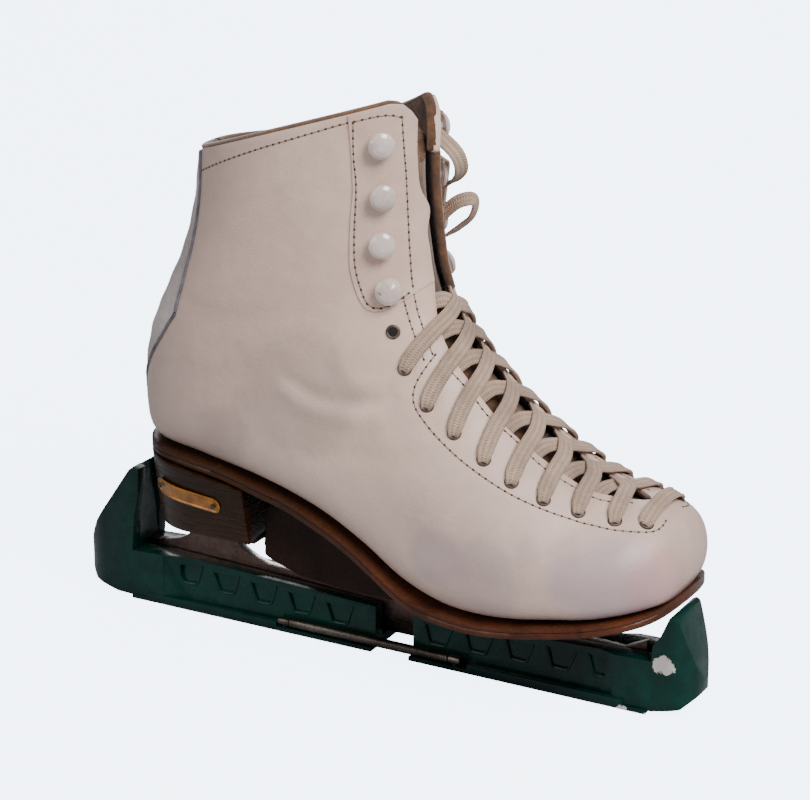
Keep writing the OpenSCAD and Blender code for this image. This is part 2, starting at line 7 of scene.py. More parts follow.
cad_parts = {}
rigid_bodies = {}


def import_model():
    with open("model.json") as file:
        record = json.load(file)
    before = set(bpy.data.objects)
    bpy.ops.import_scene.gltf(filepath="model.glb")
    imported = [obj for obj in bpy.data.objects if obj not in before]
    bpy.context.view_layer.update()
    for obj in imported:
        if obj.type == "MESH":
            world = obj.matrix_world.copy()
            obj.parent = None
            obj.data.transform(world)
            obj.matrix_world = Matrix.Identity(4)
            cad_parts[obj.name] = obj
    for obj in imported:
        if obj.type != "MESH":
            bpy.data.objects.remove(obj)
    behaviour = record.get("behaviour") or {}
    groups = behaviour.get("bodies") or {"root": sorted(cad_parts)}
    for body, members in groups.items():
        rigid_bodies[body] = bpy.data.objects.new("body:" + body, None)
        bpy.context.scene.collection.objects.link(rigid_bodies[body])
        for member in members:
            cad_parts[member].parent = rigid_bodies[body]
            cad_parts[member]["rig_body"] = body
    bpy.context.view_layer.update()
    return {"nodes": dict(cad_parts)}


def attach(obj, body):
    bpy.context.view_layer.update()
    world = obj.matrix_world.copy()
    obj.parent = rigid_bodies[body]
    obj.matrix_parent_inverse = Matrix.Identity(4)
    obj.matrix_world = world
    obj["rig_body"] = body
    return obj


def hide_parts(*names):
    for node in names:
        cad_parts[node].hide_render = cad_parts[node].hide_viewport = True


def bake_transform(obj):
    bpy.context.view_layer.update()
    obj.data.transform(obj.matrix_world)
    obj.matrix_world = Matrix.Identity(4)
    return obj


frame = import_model()

# Camera: a long lens a little above the boot, turned towards the toe and the outer side.
look_at = Vector((0.0097, 0.0, 0.1097))
camera_data = bpy.data.cameras.new("camera")
camera_data.sensor_width = 36
camera_data.lens = 118
camera = bpy.data.objects.new("camera", camera_data)
bpy.context.scene.collection.objects.link(camera)
azimuth, elevation, distance = math.radians(28.6), math.radians(19.15), 1.089
camera.location = look_at + distance * Vector((
    math.sin(azimuth) * math.cos(elevation), -math.cos(azimuth) * math.cos(elevation),
    math.sin(elevation)))
camera.rotation_euler = (look_at - camera.location).to_track_quat("-Z", "Y").to_euler()
bpy.context.scene.camera = camera

# Lace ends: the two free ends of the flat woven lace, which start beside the upper hooks of the
# inner side, lead out over the facing and hang down. Each is sealed in a clear aglet.
mm = 0.001


def tint(code):
    """Linear colour of a hex code."""
    parts = [int(code[i:i + 2], 16) / 255 for i in (0, 2, 4)]
    return [c / 12.92 if c < 0.04 else ((c + 0.055) / 1.055) ** 2.4 for c in parts] + [1.0]


def add(tree, kind, values=None, **settings):
    """A node with its inputs set to values or linked to sockets."""
    node = tree.nodes.new("ShaderNode" + kind)
    for key, value in settings.items():
        setattr(node, key, value)
    for key, value in (values or {}).items():
        if isinstance(value, bpy.types.NodeSocket):
            tree.links.new(value, node.inputs[key])
        else:
            node.inputs[key].default_value = value
    return node


def effect(name, inputs, outputs):
    """An empty shader node group with named inputs and outputs."""
    tree = bpy.data.node_groups.new(name, "ShaderNodeTree")
    for label, kind, value in inputs:
        socket = tree.interface.new_socket(label, in_out="INPUT", socket_type="NodeSocket" + kind)
        socket.default_value = value
    for label, kind in outputs:
        tree.interface.new_socket(label, in_out="OUTPUT", socket_type="NodeSocket" + kind)
    return tree, tree.nodes.new("NodeGroupInput").outputs, tree.nodes.new("NodeGroupOutput").inputs


def sums(tree, operation, a, b, clamp=False):
    return add(tree, "Math", {0: a, 1: b}, operation=operation, use_clamp=clamp).outputs[0]


def ramp(tree, value, low, high, to_low=0.0, to_high=1.0):
    """A value mapped smoothly from one range to another."""
    return add(tree, "MapRange", {"Value": value, "From Min": low, "From Max": high,
                                  "To Min": to_low, "To Max": to_high},
               interpolation_type="SMOOTHSTEP").outputs[0]


def blended(tree, share, a, b):
    """Colour a turning to colour b as share rises."""
    return add(tree, "Mix", {0: share, 6: a, 7: b}, data_type="RGBA").outputs[2]


# Colour that varies softly over a surface between two tints, in two sizes of patch
mottle, given, gives = effect(
    "mottle", [("Place", "Vector", (0, 0, 0)), ("Scale", "Float", 30), ("Light", "Color", tint("ffffff")),
               ("Dark", "Color", tint("808080")), ("Contrast", "Float", 1)], [("Colour", "Color")])
broad = add(mottle, "TexNoise", {"Vector": given["Place"], "Scale": given["Scale"], "Detail": 5})
fine_scale = sums(mottle, "MULTIPLY", given["Scale"], 9.0)
fine = add(mottle, "TexNoise", {"Vector": given["Place"], "Scale": fine_scale, "Detail": 3})
patchy = sums(mottle, "ADD", sums(mottle, "MULTIPLY", fine.outputs[0], 0.3),
              sums(mottle, "MULTIPLY", broad.outputs[0], 0.7))
spread = sums(mottle, "MULTIPLY", sums(mottle, "SUBTRACT", patchy, 0.5), given["Contrast"])
share = sums(mottle, "ADD", sums(mottle, "MULTIPLY", spread, 3.0), 0.5, clamp=True)
mottle.links.new(blended(mottle, share, given["Light"], given["Dark"]), gives["Colour"])

# Flat braid: fine slanted yarns with two raised edges, on a UV map of width by length
braid, given, gives = effect(
    "braid", [("Place", "Vector", (0, 0, 0)), ("Yarns", "Float", 9), ("Rows", "Float", 60)],
    [("Height", "Float"), ("Shade", "Float")])
parts = add(braid, "SeparateXYZ", {0: given["Place"]})
across = sums(braid, "MULTIPLY", parts.outputs[0], given["Yarns"])
along = sums(braid, "MULTIPLY", parts.outputs[1], given["Rows"])
fold = sums(braid, "ABSOLUTE", sums(braid, "SUBTRACT", sums(braid, "FRACT", across, 0.0), 0.5), 0.0)
slant = sums(braid, "SINE", sums(braid, "MULTIPLY", sums(braid, "ADD", along, fold), 2 * math.pi), 0.0)
ribs = sums(braid, "SINE", sums(braid, "MULTIPLY", across, 2 * math.pi), 0.0)
woven = sums(braid, "ADD", sums(braid, "MULTIPLY", slant, 0.5), sums(braid, "MULTIPLY", ribs, 0.6))
braid.links.new(woven, gives["Height"])
# Shade is 0 where the weave sinks and 1 on the raised yarns; the lace uses it for painted shade between them
braid.links.new(ramp(braid, woven, -1.1, 0.9, 0.0, 1.0), gives["Shade"])


def finish(name, colour, roughness, metallic=0.0, patches=None, **values):
    """A material with one shader. values are set on the shader's own sockets, and patches are a
    scale and two tints for a colour that varies over the piece."""
    material = bpy.data.materials.new(name)
    material.use_nodes = True
    tree = material.node_tree
    shader = tree.nodes["Principled BSDF"]
    shader.inputs["Base Color"].default_value = tint(colour)
    shader.inputs["Roughness"].default_value = roughness
    shader.inputs["Metallic"].default_value = metallic
    for key, value in values.items():
        shader.inputs[key.replace("_", " ")].default_value = value
    if patches:
        paint(tree, shader, "Base Color", mottled(tree, *patches))
    return material, tree, shader


def use(tree, group, **values):
    """Places a shared effect in a material."""
    node = tree.nodes.new("ShaderNodeGroup")
    node.node_tree = group
    for key, value in values.items():
        if isinstance(value, bpy.types.NodeSocket):
            tree.links.new(value, node.inputs[key])
        else:
            node.inputs[key].default_value = value
    return node.outputs


def place(tree):
    return tree.nodes.new("ShaderNodeTexCoord").outputs["Object"]


def coordinate(tree, axis):
    """One of the piece's own coordinates: 0 along the boot, 1 across it, 2 up."""
    return add(tree, "SeparateXYZ", {0: place(tree)}).outputs[axis]


def noise(tree, scale, detail):
    return add(tree, "TexNoise", {"Vector": place(tree), "Scale": scale, "Detail": detail}).outputs[0]


def mottled(tree, scale, light, dark, contrast=1.0):
    """Soft patches of colour between two tints."""
    return use(tree, mottle, Place=place(tree), Scale=scale, Light=tint(light), Dark=tint(dark),
               Contrast=contrast)["Colour"]


def paint(tree, shader, socket, value):
    tree.links.new(value, shader.inputs[socket])


def relief(tree, shader, height, depth):
    """Bump of a given depth in metres."""
    bump = add(tree, "Bump", {"Height": height, "Distance": depth, "Strength": 1.0})
    tree.links.new(bump.outputs[0], shader.inputs["Normal"])


def lace_finish():
    """Woven cotton, beige, with brown painted shade between the yarns."""
    material, tree, shader = finish("lace_cotton", "b59e8c", 0.85, Sheen_Weight=0.1, Sheen_Roughness=0.5)
    uv = tree.nodes.new("ShaderNodeUVMap").outputs[0]
    weave = use(tree, braid, Place=uv, Yarns=9.0, Rows=1.0)
    base = mottled(tree, 60.0, "c4a792", "98806f")
    # Painted shade: brown where the weave sinks between the yarns
    yarn_gap_shade = ramp(tree, weave["Shade"], 0, 1, 0.45, 0)
    paint(tree, shader, "Base Color", blended(tree, yarn_gap_shade, base, tint("6f5a4c")))
    relief(tree, shader, weave["Height"], 0.00018)
    return material


def deselect():
    if bpy.context.object and bpy.context.object.mode != "OBJECT":
        bpy.ops.object.mode_set(mode="OBJECT")
    bpy.ops.object.select_all(action="DESELECT")


def choose(piece):
    deselect()
    piece.select_set(True)
    bpy.context.view_layer.objects.active = piece


def laid_grid(name, points, uv=None):
    """A grid primitive laid over rows of points, with u across a row and v along the rows."""
    rows, cols = len(points), len(points[0])
    deselect()
    bpy.ops.mesh.primitive_grid_add(x_subdivisions=cols - 1, y_subdivisions=rows - 1, size=1,
                                    calc_uvs=True)
    piece = bpy.context.object
    piece.name = name
    mesh = piece.data
    flat = np.zeros(len(mesh.vertices) * 3)
    mesh.vertices.foreach_get("co", flat)
    flat = flat.reshape(-1, 3)
    column = np.rint((flat[:, 0] + 0.5) * (cols - 1)).astype(int)
    row = np.rint((flat[:, 1] + 0.5) * (rows - 1)).astype(int)
    mesh.vertices.foreach_set("co", np.asarray(points, float)[row, column].ravel())
    if uv is not None:
        loops = np.zeros(len(mesh.loops), int)
        mesh.loops.foreach_get("vertex_index", loops)
        mesh.uv_layers[0].data.foreach_set("uv", np.asarray(uv, float)[row[loops], column[loops]].ravel())
    mesh.update()
    return piece


def smooth(piece, material, angle=40):
    """Gives a piece its material and smooth shading up to an angle."""
    piece.data.materials.clear()
    piece.data.materials.append(material)
    choose(piece)
    bpy.ops.object.shade_smooth_by_angle(angle=math.radians(angle))
    return piece


def outward_faces(piece):
    choose(piece)
    bpy.ops.object.mode_set(mode="EDIT")
    bpy.ops.mesh.select_all(action="SELECT")
    bpy.ops.mesh.remove_doubles(threshold=1e-6)
    bpy.ops.mesh.select_all(action="DESELECT")
    bpy.ops.mesh.select_non_manifold(use_wire=False, use_multi_face=False, use_non_contiguous=False,
                                     use_verts=False)
    bpy.ops.mesh.fill_holes(sides=0)
    bpy.ops.mesh.select_all(action="SELECT")
    bpy.ops.mesh.normals_make_consistent(inside=False)
    bpy.ops.object.mode_set(mode="OBJECT")
    return piece


def laid_tube(name, rings, length_scale=None):
    """A closed tube through rings of points. Its UV is once round by length over length_scale."""
    rings = np.asarray(rings, float)
    middle = rings.mean(axis=1)
    run = np.concatenate([[0], np.cumsum(np.linalg.norm(np.diff(middle, axis=0), axis=1))])
    wrapped = np.concatenate([rings, rings[:, :1]], axis=1)
    u = np.linspace(0, 1, wrapped.shape[1])
    uv = np.stack(np.broadcast_arrays(u[None, :], (run / (length_scale or run[-1]))[:, None]), axis=-1)
    return outward_faces(laid_grid(name, wrapped, uv))


def curve_through(points, count):
    """Evenly spaced points on a smooth curve through a few."""
    p = np.asarray(points, float)
    ends = np.vstack([2 * p[0] - p[1], p, 2 * p[-1] - p[-2]])
    fine = []
    for i in range(len(p) - 1):
        a, b, c, d = ends[i:i + 4]
        for f in np.linspace(0, 1, 24, endpoint=False):
            fine.append(0.5 * (2 * b + (c - a) * f + (2 * a - 5 * b + 4 * c - d) * f * f
                               + (3 * b - a - 3 * c + d) * f ** 3))
    fine = np.array(fine + [p[-1]])
    run = np.concatenate([[0], np.cumsum(np.linalg.norm(np.diff(fine[:, :3], axis=0), axis=1))])
    even = np.linspace(0, run[-1], count)
    return np.stack([np.interp(even, run, fine[:, k]) for k in range(p.shape[1])], axis=1)


def unit(v):
    return v / np.maximum(np.linalg.norm(v, axis=-1, keepdims=True), 1e-9)


# Half outline of a flat lace's section: across the width, and through the thickness
lace_width, lace_thick = 6.7 * mm, 1.5 * mm
lace_outline = [(-1, 0), (-0.92, 0.75), (-0.78, 1), (-0.6, 0.62), (-0.3, 0.8), (0, 0.66), (0.3, 0.8),
                (0.6, 0.62), (0.78, 1), (0.92, 0.75), (1, 0)]
lace_section = lace_outline + [(x, -y) for x, y in lace_outline[-2:0:-1]]


def lace_band(name, path, ups, narrow=None):
    """A flat lace along path with its face towards ups. narrow gives the share of its width."""
    ahead = unit(np.gradient(path, axis=0))
    side = unit(np.cross(unit(ups), ahead))
    face = np.cross(ahead, side)
    narrow = np.ones(len(path)) if narrow is None else narrow
    rings = []
    for x, y in lace_section:
        curl = (1 - narrow) * x * x * 1.6 * mm
        rings.append(path + side * (x * lace_width / 2 * narrow)[:, None]
                     + face * (y * lace_thick / 2 * (1 + 0.3 * (1 - narrow)) + curl)[:, None])
    return laid_tube(name, np.stack(rings, axis=1), length_scale=1.15 * mm)


lace_cotton = lace_finish()
end_routes = {
    "lace_end_front": [(8, 33, 205), (7, 38, 202), (4, 42, 192), (1, 44, 174), (-1, 45, 150),
                       (-2, 46, 128), (-3, 47, 108), (-4, 48, 90), (-5, 48, 74)],
    "lace_end_rear": [(5, 36, 224), (3, 41, 219), (-1, 43, 205), (-5, 44, 185), (-9, 45, 162),
                      (-12, 46, 140), (-16, 46, 118), (-19, 46, 100), (-21, 47, 84)],
}
aglet_length, aglet_radius = 18 * mm, 1.7 * mm
aglet_clear, tree, shader = finish("aglet_plastic", "d9d2c6", 0.22, Coat_Weight=0.4,
                                   patches=(300.0, "e9e3d8", "b9ab9b"))
for end_name, route in end_routes.items():
    path = curve_through(np.array(route) * mm, 60)
    ups = np.tile([0.15, 1.0, 0.1], (60, 1))
    to_end = np.linspace(1, 0, 60)
    narrow = np.clip(0.42 + to_end * 8, 0.42, 1)
    piece = smooth(lace_band(end_name + "_woven", path, ups, narrow), lace_cotton)
    heading = unit(path[-1] - path[-2])
    round_from = [(0.0, 0.8), (0.04, 1.0), (0.5, 0.92), (0.93, 0.85), (1.0, 0.6)]
    angles = np.linspace(0, 2 * math.pi, 20, endpoint=False)
    a_side = unit(np.cross(heading, [0, 1, 0]))
    b_side = np.cross(heading, a_side)
    rings = [path[-1] + heading * aglet_length * s + aglet_radius * w
             * (np.cos(angles)[:, None] * a_side + np.sin(angles)[:, None] * b_side) for s, w in round_from]
    aglet = smooth(laid_tube(end_name + "_aglet", rings), aglet_clear)
    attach(aglet, "skate")
    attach(piece, "skate")
    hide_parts(end_name)
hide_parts("aglets")

# Floor and light: a pale floor whose glow only the camera sees, one wide soft light above the toe,
# a dim fill in front and another behind.
floor_glow = 6.8
bpy.ops.mesh.primitive_plane_add(size=14, location=(0, 0, -0.0005))
floor = bpy.context.object
floor.name = "floor"
floor_pale, tree, shader = finish("floor_pale", "a3a9ad", 0.9, Emission_Color=tint("dcebfb"))
seen = tree.nodes.new("ShaderNodeLightPath").outputs["Is Camera Ray"]
tree.links.new(sums(tree, "MULTIPLY", seen, floor_glow), shader.inputs["Emission Strength"])
floor.data.materials.append(floor_pale)
world = bpy.data.worlds.new("pale_room")
world.use_nodes = True
world.node_tree.nodes["Background"].inputs[0].default_value = tint("f3efee")
world.node_tree.nodes["Background"].inputs[1].default_value = 0.26
bpy.context.scene.world = world
lights = [("soft_key", (1.25, -0.6, 1.45), 0.9, 52), ("soft_fill", (-0.9, -1.4, 1.0), 1.2, 12),
          ("soft_back", (-0.7, 1.5, 1.1), 1.2, 14)]
for light_name, spot, width, watts in lights:
    light_data = bpy.data.lights.new(light_name, "AREA")
    light_data.size = width
    light_data.energy = watts
    light = bpy.data.objects.new(light_name, light_data)
    light.location = spot
    light.rotation_euler = (look_at - Vector(spot)).to_track_quat("-Z", "Y").to_euler()
    bpy.context.scene.collection.objects.link(light)

# Boot leather: two halves cut from white leather about 2 mm thick, drawn over a last, joined
# over the toe and under the sole, and open at the throat and at the notch above the heel.
# front x, z, back x, z, half width, y offset, roundness front, back, share, lift outer, inner, gap
stations = np.array([
    (138, 62, 138, 62, 0, 3, 2, 2, 0.5, 0, 0, 0),
    (137.2, 68, 137, 55, 13, 3, 2, 2.2, 0.45, 0, 0, 0),
    (135, 75, 134, 49.5, 23, 3, 2, 2.8, 0.42, 0, 0, 0),
    (130.5, 81, 129, 47.5, 30, 3, 2, 3.5, 0.4, 0, 0, 0),
    (122.5, 85, 120, 45, 36, 2.5, 2, 4, 0.38, 0, 0, 0),
    (111, 87.5, 108, 42.5, 40, 2, 2, 4.5, 0.36, 0, 0, 6.5),
    (99, 91, 94, 40.5, 42, 1, 2, 4.5, 0.34, 0, 0, 11),
    (87, 97.5, 79, 38, 43, 0, 2, 4.5, 0.34, 0, 0, 12),
    (74, 106.5, 61, 36, 42.5, 0, 2, 4.5, 0.34, 0, 0, 13.5),
    (60.5, 118, 43, 36.5, 40.5, 0, 2, 4.5, 0.36, 0, 0, 14.5),
    (48.5, 130, 24, 42, 38, 0, 2, 4.5, 0.38, 0, 0, 13.5),
    (40, 140, 4, 53.5, 36, 0, 2, 4.5, 0.4, 0, 0, 13),
    (33.5, 149, -18, 64, 35, 0, 2.1, 4.5, 0.42, 0, 0, 11.5),
    (29.5, 157, -45, 72.5, 35, 0, 2.1, 4.5, 0.42, 0, 0, 8.5),
    (27.5, 164, -76, 77.5, 34.5, 0, 2.2, 4, 0.42, 0, 0, 6.5),
    (26, 171, -103, 81, 34, 0, 2.2, 3, 0.42, 0, 0, 6),
    (25, 178, -111, 95, 33.5, 0, 2.2, 2.4, 0.42, 0, 0, 6),
    (24, 185, -110.5, 111, 33, 0, 2.2, 2.2, 0.42, 0, 0, 6.5),
    (23, 193, -106.5, 129, 32.5, 0, 2.2, 2.2, 0.44, 0, 0, 7),
    (22, 202, -99, 146, 32, 0, 2.2, 2.2, 0.46, 0, -1, 8),
    (21.5, 212, -90, 165, 32, 0, 2.2, 2.2, 0.48, 0, -3, 8.5),
    (21.5, 224, -84, 186, 32, 0, 2.2, 2.2, 0.5, 0, -5, 9),
    (22, 240, -81.5, 207, 32, 0, 2.2, 2.2, 0.5, 1, -7, 9),
], float)
rim, throat_end = 22, 4.4
beyond = np.vstack([2 * stations[0] - stations[1], stations, 2 * stations[-1] - stations[-2]])


def station(t):
    """Smooth section values between the stations."""
    i = np.clip(np.floor(t).astype(int), 0, rim - 1)
    f = (t - i)[..., None]
    a, b, c, d = (beyond[i + k] for k in range(4))
    return 0.5 * (2 * b + (c - a) * f + (2 * a - 5 * b + 4 * c - d) * f ** 2
                  + (3 * b - a - 3 * c + d) * f ** 3)


def power(v, n):
    return np.sign(v) * np.abs(v) ** (2 / n)


def boot(t, angle, depth=0.0):
    """Points of the boot, in metres: 0 degrees is the front, 180 the back, positive is outer."""
    t, angle, depth = np.broadcast_arrays(*(np.asarray(v, float) for v in (t, angle, depth)))
    corner = np.where(angle > 0, np.interp(angle, [0, 10, 15, 20, 26, 34], [0.8, 0.72, 0.55, 0.3, 0.1, 0]),
                      np.interp(-angle, [0, 10, 15, 20, 28, 40], [2.0, 1.9, 1.7, 1.2, 0.5, 0]))
    t = np.where(t > 20, t - corner * np.clip((t - 20) / 2, 0, 1.2), t)
    sunk = np.where(depth < 2, np.maximum(depth, 0) / 2, 1 + (depth - 2) / 5)
    q = station(np.where(t < 4, sunk + t * (1 - sunk / 4), t))
    front, back = q[..., 0:2], q[..., 2:4]
    e = (front - back) / np.maximum(np.linalg.norm(front - back, axis=-1, keepdims=True), 0.01)
    front, back = front - depth[..., None] * e, back + depth[..., None] * e
    middle = back + (front - back) * q[..., 8:9]
    c, s = np.cos(np.radians(angle)), np.sin(np.radians(angle))
    n = np.where(c > 0, q[..., 6], q[..., 7])
    reach = np.where(c[..., None] > 0, front - middle, middle - back)
    p = middle + reach * power(c, n)[..., None]
    lift = np.where(angle > 0, q[..., 9], q[..., 10])
    y = q[..., 5] - np.maximum(q[..., 4] - depth, 0.2) * power(s, n)
    return np.stack([p[..., 0], y, p[..., 1] + lift * s * s], axis=-1) * mm


def facing(t):
    """Angle of the throat's edge."""
    q = station(np.asarray(t, float))
    edge = np.degrees(np.arcsin(np.clip(q[..., 11] / q[..., 4], 0, 1) ** (q[..., 6] / 2)))
    return np.where(np.asarray(t) < throat_end, 0.0, np.maximum(edge, 0.4))


def rear_edge(t):
    """Angle of the quarters' rear edge, with the notch above the heel."""
    return np.interp(t, [0, 14.9, 15.5, 16.5, 17, 17.5, 18, 19, 20, 21, 22],
                     [180, 180, 172, 163, 148, 133, 124, 129, 137, 144, 150])


def outward(t, angle):
    t, angle = np.broadcast_arrays(np.asarray(t, float), np.asarray(angle, float))
    return unit(np.cross(boot(t + 0.1, angle) - boot(t - 0.1, angle),
                         boot(t, angle + 2) - boot(t, angle - 2)))


def even_angles(t, start, end, count):
    """Angles from start to end that lie evenly along the section."""
    fine = start + (end - start) * np.linspace(0, 1, 600)
    p = boot(t, fine)
    run = np.concatenate([[0], np.cumsum(np.linalg.norm(np.diff(p, axis=0), axis=1))])
    return np.interp(np.linspace(0, run[-1], count), run, fine)


def off_line(points, path):
    """Distance of points from a line of points."""
    path = np.asarray(path)
    a, b = path[:-1], path[1:]
    d = b - a
    w = np.clip(((points[:, None] - a) * d).sum(-1) / (d * d).sum(-1), 0, 1)
    return np.linalg.norm(points[:, None] - (a + w[..., None] * d), axis=-1).min(axis=1)


# Soft creases of the worn leather, as (station, angle) points, depth and width in mm
creases = [
    ([(14.2, 82), (13.4, 82), (12.7, 77), (12.2, 70), (11.9, 62)], -1.0, 3.0),
    ([(14.0, 86), (13.2, 87), (12.4, 81), (11.8, 73)], 0.8, 4.0),
    ([(14.4, 60), (13.6, 66), (12.9, 68), (12.3, 63)], 0.7, 4.0),
    ([(12.6, 96), (11.6, 88), (10.8, 78), (10.2, 66)], -0.5, 4.0),
    ([(18.2, 118), (17.5, 100), (16.8, 84), (16.4, 70)], -0.5, 5.0),
    ([(16.6, 108), (15.9, 92), (15.4, 76)], 0.5, 6.0),
    ([(6.4, 62), (6.0, 50), (5.7, 42)], -0.35, 3.0),
    ([(7.6, 66), (7.2, 54), (6.9, 47)], -0.3, 3.0),
]


def worn(points, t, angle):
    """Moves leather points in and out along the normal at the creases, on both sides."""
    normal = outward(np.maximum(t, 0.15), angle)
    move = np.zeros(len(points))
    for path, deep, wide in creases:
        for side in (1, -1):
            line = boot(np.array([p[0] for p in path]), side * np.array([p[1] for p in path]))
            line = curve_through(line, 24)
            move += deep * mm * np.exp(-(off_line(points, line) / (wide * mm)) ** 2)
    return points + normal * move[:, None]


def half_rows(side, rows, start, end, cols, depth=0.0, wear=False):
    """Rows of points from start(t) to end(t) on one side, wound so that faces look outwards."""
    grid = []
    for t in rows:
        angles = side * even_angles(t, float(start(t)), float(end(t)), cols)
        deep = depth(t, np.abs(angles)) if callable(depth) else depth
        p = boot(t, angles, deep)
        grid.append(worn(p, np.full(cols, t), angles) if wear else p)
    grid = np.array(grid)
    return grid[:, ::-1] if side > 0 else grid


def curl(t):
    """The outer facing's edge bends out between the second and third hooks."""
    return 5.5 * np.exp(-((t - 18.1) / 0.75) ** 2)


def front_edge(side):
    """The facing's edge on a side, with the bend on the outer one."""
    return (lambda t: max(facing(t) - curl(t), 0)) if side > 0 else facing


leather_rows = np.concatenate([np.linspace(0, 5, 36), np.linspace(5.14, rim, 118)])
halves = []
for side in (1, -1):
    edge = front_edge(side)
    halves.append(laid_grid("leather_half", half_rows(side, leather_rows, edge, rear_edge, 60, wear=True)))


def leather_grain(tree, scale, fold):
    """Height of a fine pebbled grain with a few longer folds."""
    spot = place(tree)
    cells = add(tree, "TexVoronoi", {"Vector": spot, "Scale": scale}, feature="DISTANCE_TO_EDGE")
    folds = add(tree, "TexNoise", {"Vector": spot, "Scale": scale / 12, "Detail": 6, "Roughness": 0.6})
    return sums(tree, "ADD", sums(tree, "MULTIPLY", cells.outputs[0], 0.6),
                sums(tree, "MULTIPLY", folds.outputs[0], fold))


def distance_from(tree, centre):
    """Distance of the surface from a point in mm."""
    return add(tree, "VectorMath", {0: place(tree), 1: [c * mm for c in centre]},
               operation="DISTANCE").outputs["Value"]


def marks(tree, colour, spots):
    """Soft-edged patches of another tint at given places: centre in mm, radius in mm, strength, colour."""
    wander = add(tree, "TexNoise", {"Vector": place(tree), "Scale": 45, "Detail": 4})
    for centre, radius, strength, patch_tint in spots:
        wavy = sums(tree, "ADD", distance_from(tree, centre),
                    sums(tree, "MULTIPLY", sums(tree, "SUBTRACT", wander.outputs[0], 0.5), 0.9 * radius * mm))
        colour = blended(tree, ramp(tree, wavy, 0.55 * radius * mm, radius * mm, strength, 0.0), colour,
                         tint(patch_tint))
    return colour


white_leather, tree, shader = finish("white_leather", "dcc4b4", 0.42, Coat_Weight=0.12, Coat_Roughness=0.35,
                                     Sheen_Weight=0.05)
base = mottled(tree, 14.0, "e0c3b1", "c9a89a")
# Painted shade: the leather darkens towards the bottom and towards the heel
low = coordinate(tree, 2)
base = blended(tree, ramp(tree, low, 0.05, 0.15, 0.35, 0.0), base, tint("b39a97"))
along = coordinate(tree, 0)
base = blended(tree, ramp(tree, along, -0.11, 0.0, 0.55, 0.0), base, tint("9c8580"))
# Painted shade: soft mauve and darker patches on the toe, low on both sides and towards the heel
base = marks(tree, base, [
    ((116, -31, 62), 26, 0.45, "9b8a9c"), ((132, -18, 62), 20, 0.45, "bf8d8d"),
    ((70, -42, 58), 20, 0.35, "9d8f95"), ((46, -38, 62), 17, 0.3, "8d8496"),
    ((-60, -34, 92), 16, 0.3, "8a7872"), ((-20, -34, 120), 34, 0.35, "96827c"),
    ((-8, -36, 150), 9, 0.3, "8d7b8c"), ((86, -43, 74), 9, 0.2, "93819a"),
    ((100, 30, 62), 26, 0.4, "a79ba8")])
paint(tree, shader, "Base Color", base)
paint(tree, shader, "Roughness", ramp(tree, noise(tree, 35, 4), 0.3, 0.7, 0.36, 0.52))
relief(tree, shader, leather_grain(tree, 1400, 1.6), 0.00022)


def eased(piece, width, segments, angle):
    """Rounds the edges sharper than an angle in degrees by a width in mm."""
    choose(piece)
    ease = piece.modifiers.new("ease", "BEVEL")
    ease.width = width * mm
    ease.segments = segments
    ease.limit_method = "ANGLE"
    ease.angle_limit = math.radians(angle)
    bpy.ops.object.modifier_apply(modifier="ease")
    return piece


def thicken(piece, thickness, edge=0.35, segments=2):
    """Gives a sheet its wall inwards and eases the edges."""
    choose(piece)
    wall = piece.modifiers.new("wall", "SOLIDIFY")
    wall.thickness = thickness * mm
    wall.offset = -1
    bpy.ops.object.modifier_apply(modifier="wall")
    return eased(piece, edge, segments, 50)


def joined(pieces, name):
    deselect()
    for piece in pieces:
        piece.select_set(True)
    bpy.context.view_layer.objects.active = pieces[0]
    bpy.ops.object.join()
    pieces[0].name = name
    return pieces[0]


def sewn(piece, threshold=0.02):
    """Merges points that meet."""
    choose(piece)
    bpy.ops.object.mode_set(mode="EDIT")
    bpy.ops.mesh.select_all(action="SELECT")
    bpy.ops.mesh.remove_doubles(threshold=threshold * mm)
    bpy.ops.object.mode_set(mode="OBJECT")
    return piece


leather = thicken(sewn(joined(halves, "boot_leather"), 0.05), 1.9)
smooth(leather, white_leather, 50)
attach(leather, "skate")
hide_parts("upper_outer", "upper_inner")

# Stitching: waxed thread in a row of holes round the collar, the hook patches, the
# facings and the eyelet row, about 3 mm from hole to hole. Each hole is a small dark bead of painted shade.
def leather_at(t, angle, lift=0.0):
    """Points on the worn leather, lifted by mm along the normal."""
    t, angle = np.broadcast_arrays(np.asarray(t, float), np.asarray(angle, float))
    return worn(boot(t, angle), t, angle) + outward(t, angle) * lift * mm


def surface_line(points, side, pitch):
    """Stations and angles at an even pitch along a line on the boot."""
    line = curve_through([(t, a, 0) for t, a in points], 400)
    t, angle = line[:, 0], side * line[:, 1]
    run = np.concatenate([[0], np.cumsum(np.linalg.norm(np.diff(boot(t, angle), axis=0), axis=1))])
    even = np.linspace(0, run[-1], int(run[-1] / (pitch * mm)) + 1)
    return np.interp(even, run, t), np.interp(even, run, angle)


def copies(name, seed, spots, material, angle=40):
    """One mesh of copies of a small piece, each turned by its three axes and put at its point."""
    shape = np.array([v.co for v in seed.data.vertices])
    faces = [list(f.vertices) for f in seed.data.polygons]
    points = np.concatenate([spot + shape @ np.array(axes) for axes, spot in spots])
    every = [[v + i * len(shape) for v in f] for i in range(len(spots)) for f in faces]
    mesh = bpy.data.meshes.new(name)
    mesh.from_pydata(points.tolist(), [], every)
    piece = bpy.data.objects.new(name, mesh)
    bpy.context.scene.collection.objects.link(piece)
    bpy.data.objects.remove(seed)
    return smooth(piece, material, angle)


def bead(length, width, height):
    """A small round-ended bead, lying along X."""
    deselect()
    bpy.ops.mesh.primitive_uv_sphere_add(segments=8, ring_count=5, radius=1)
    bpy.context.object.data.transform(
        Matrix.Diagonal((length * mm / 2, width * mm / 2, height * mm / 2, 1)))
    return bpy.context.object


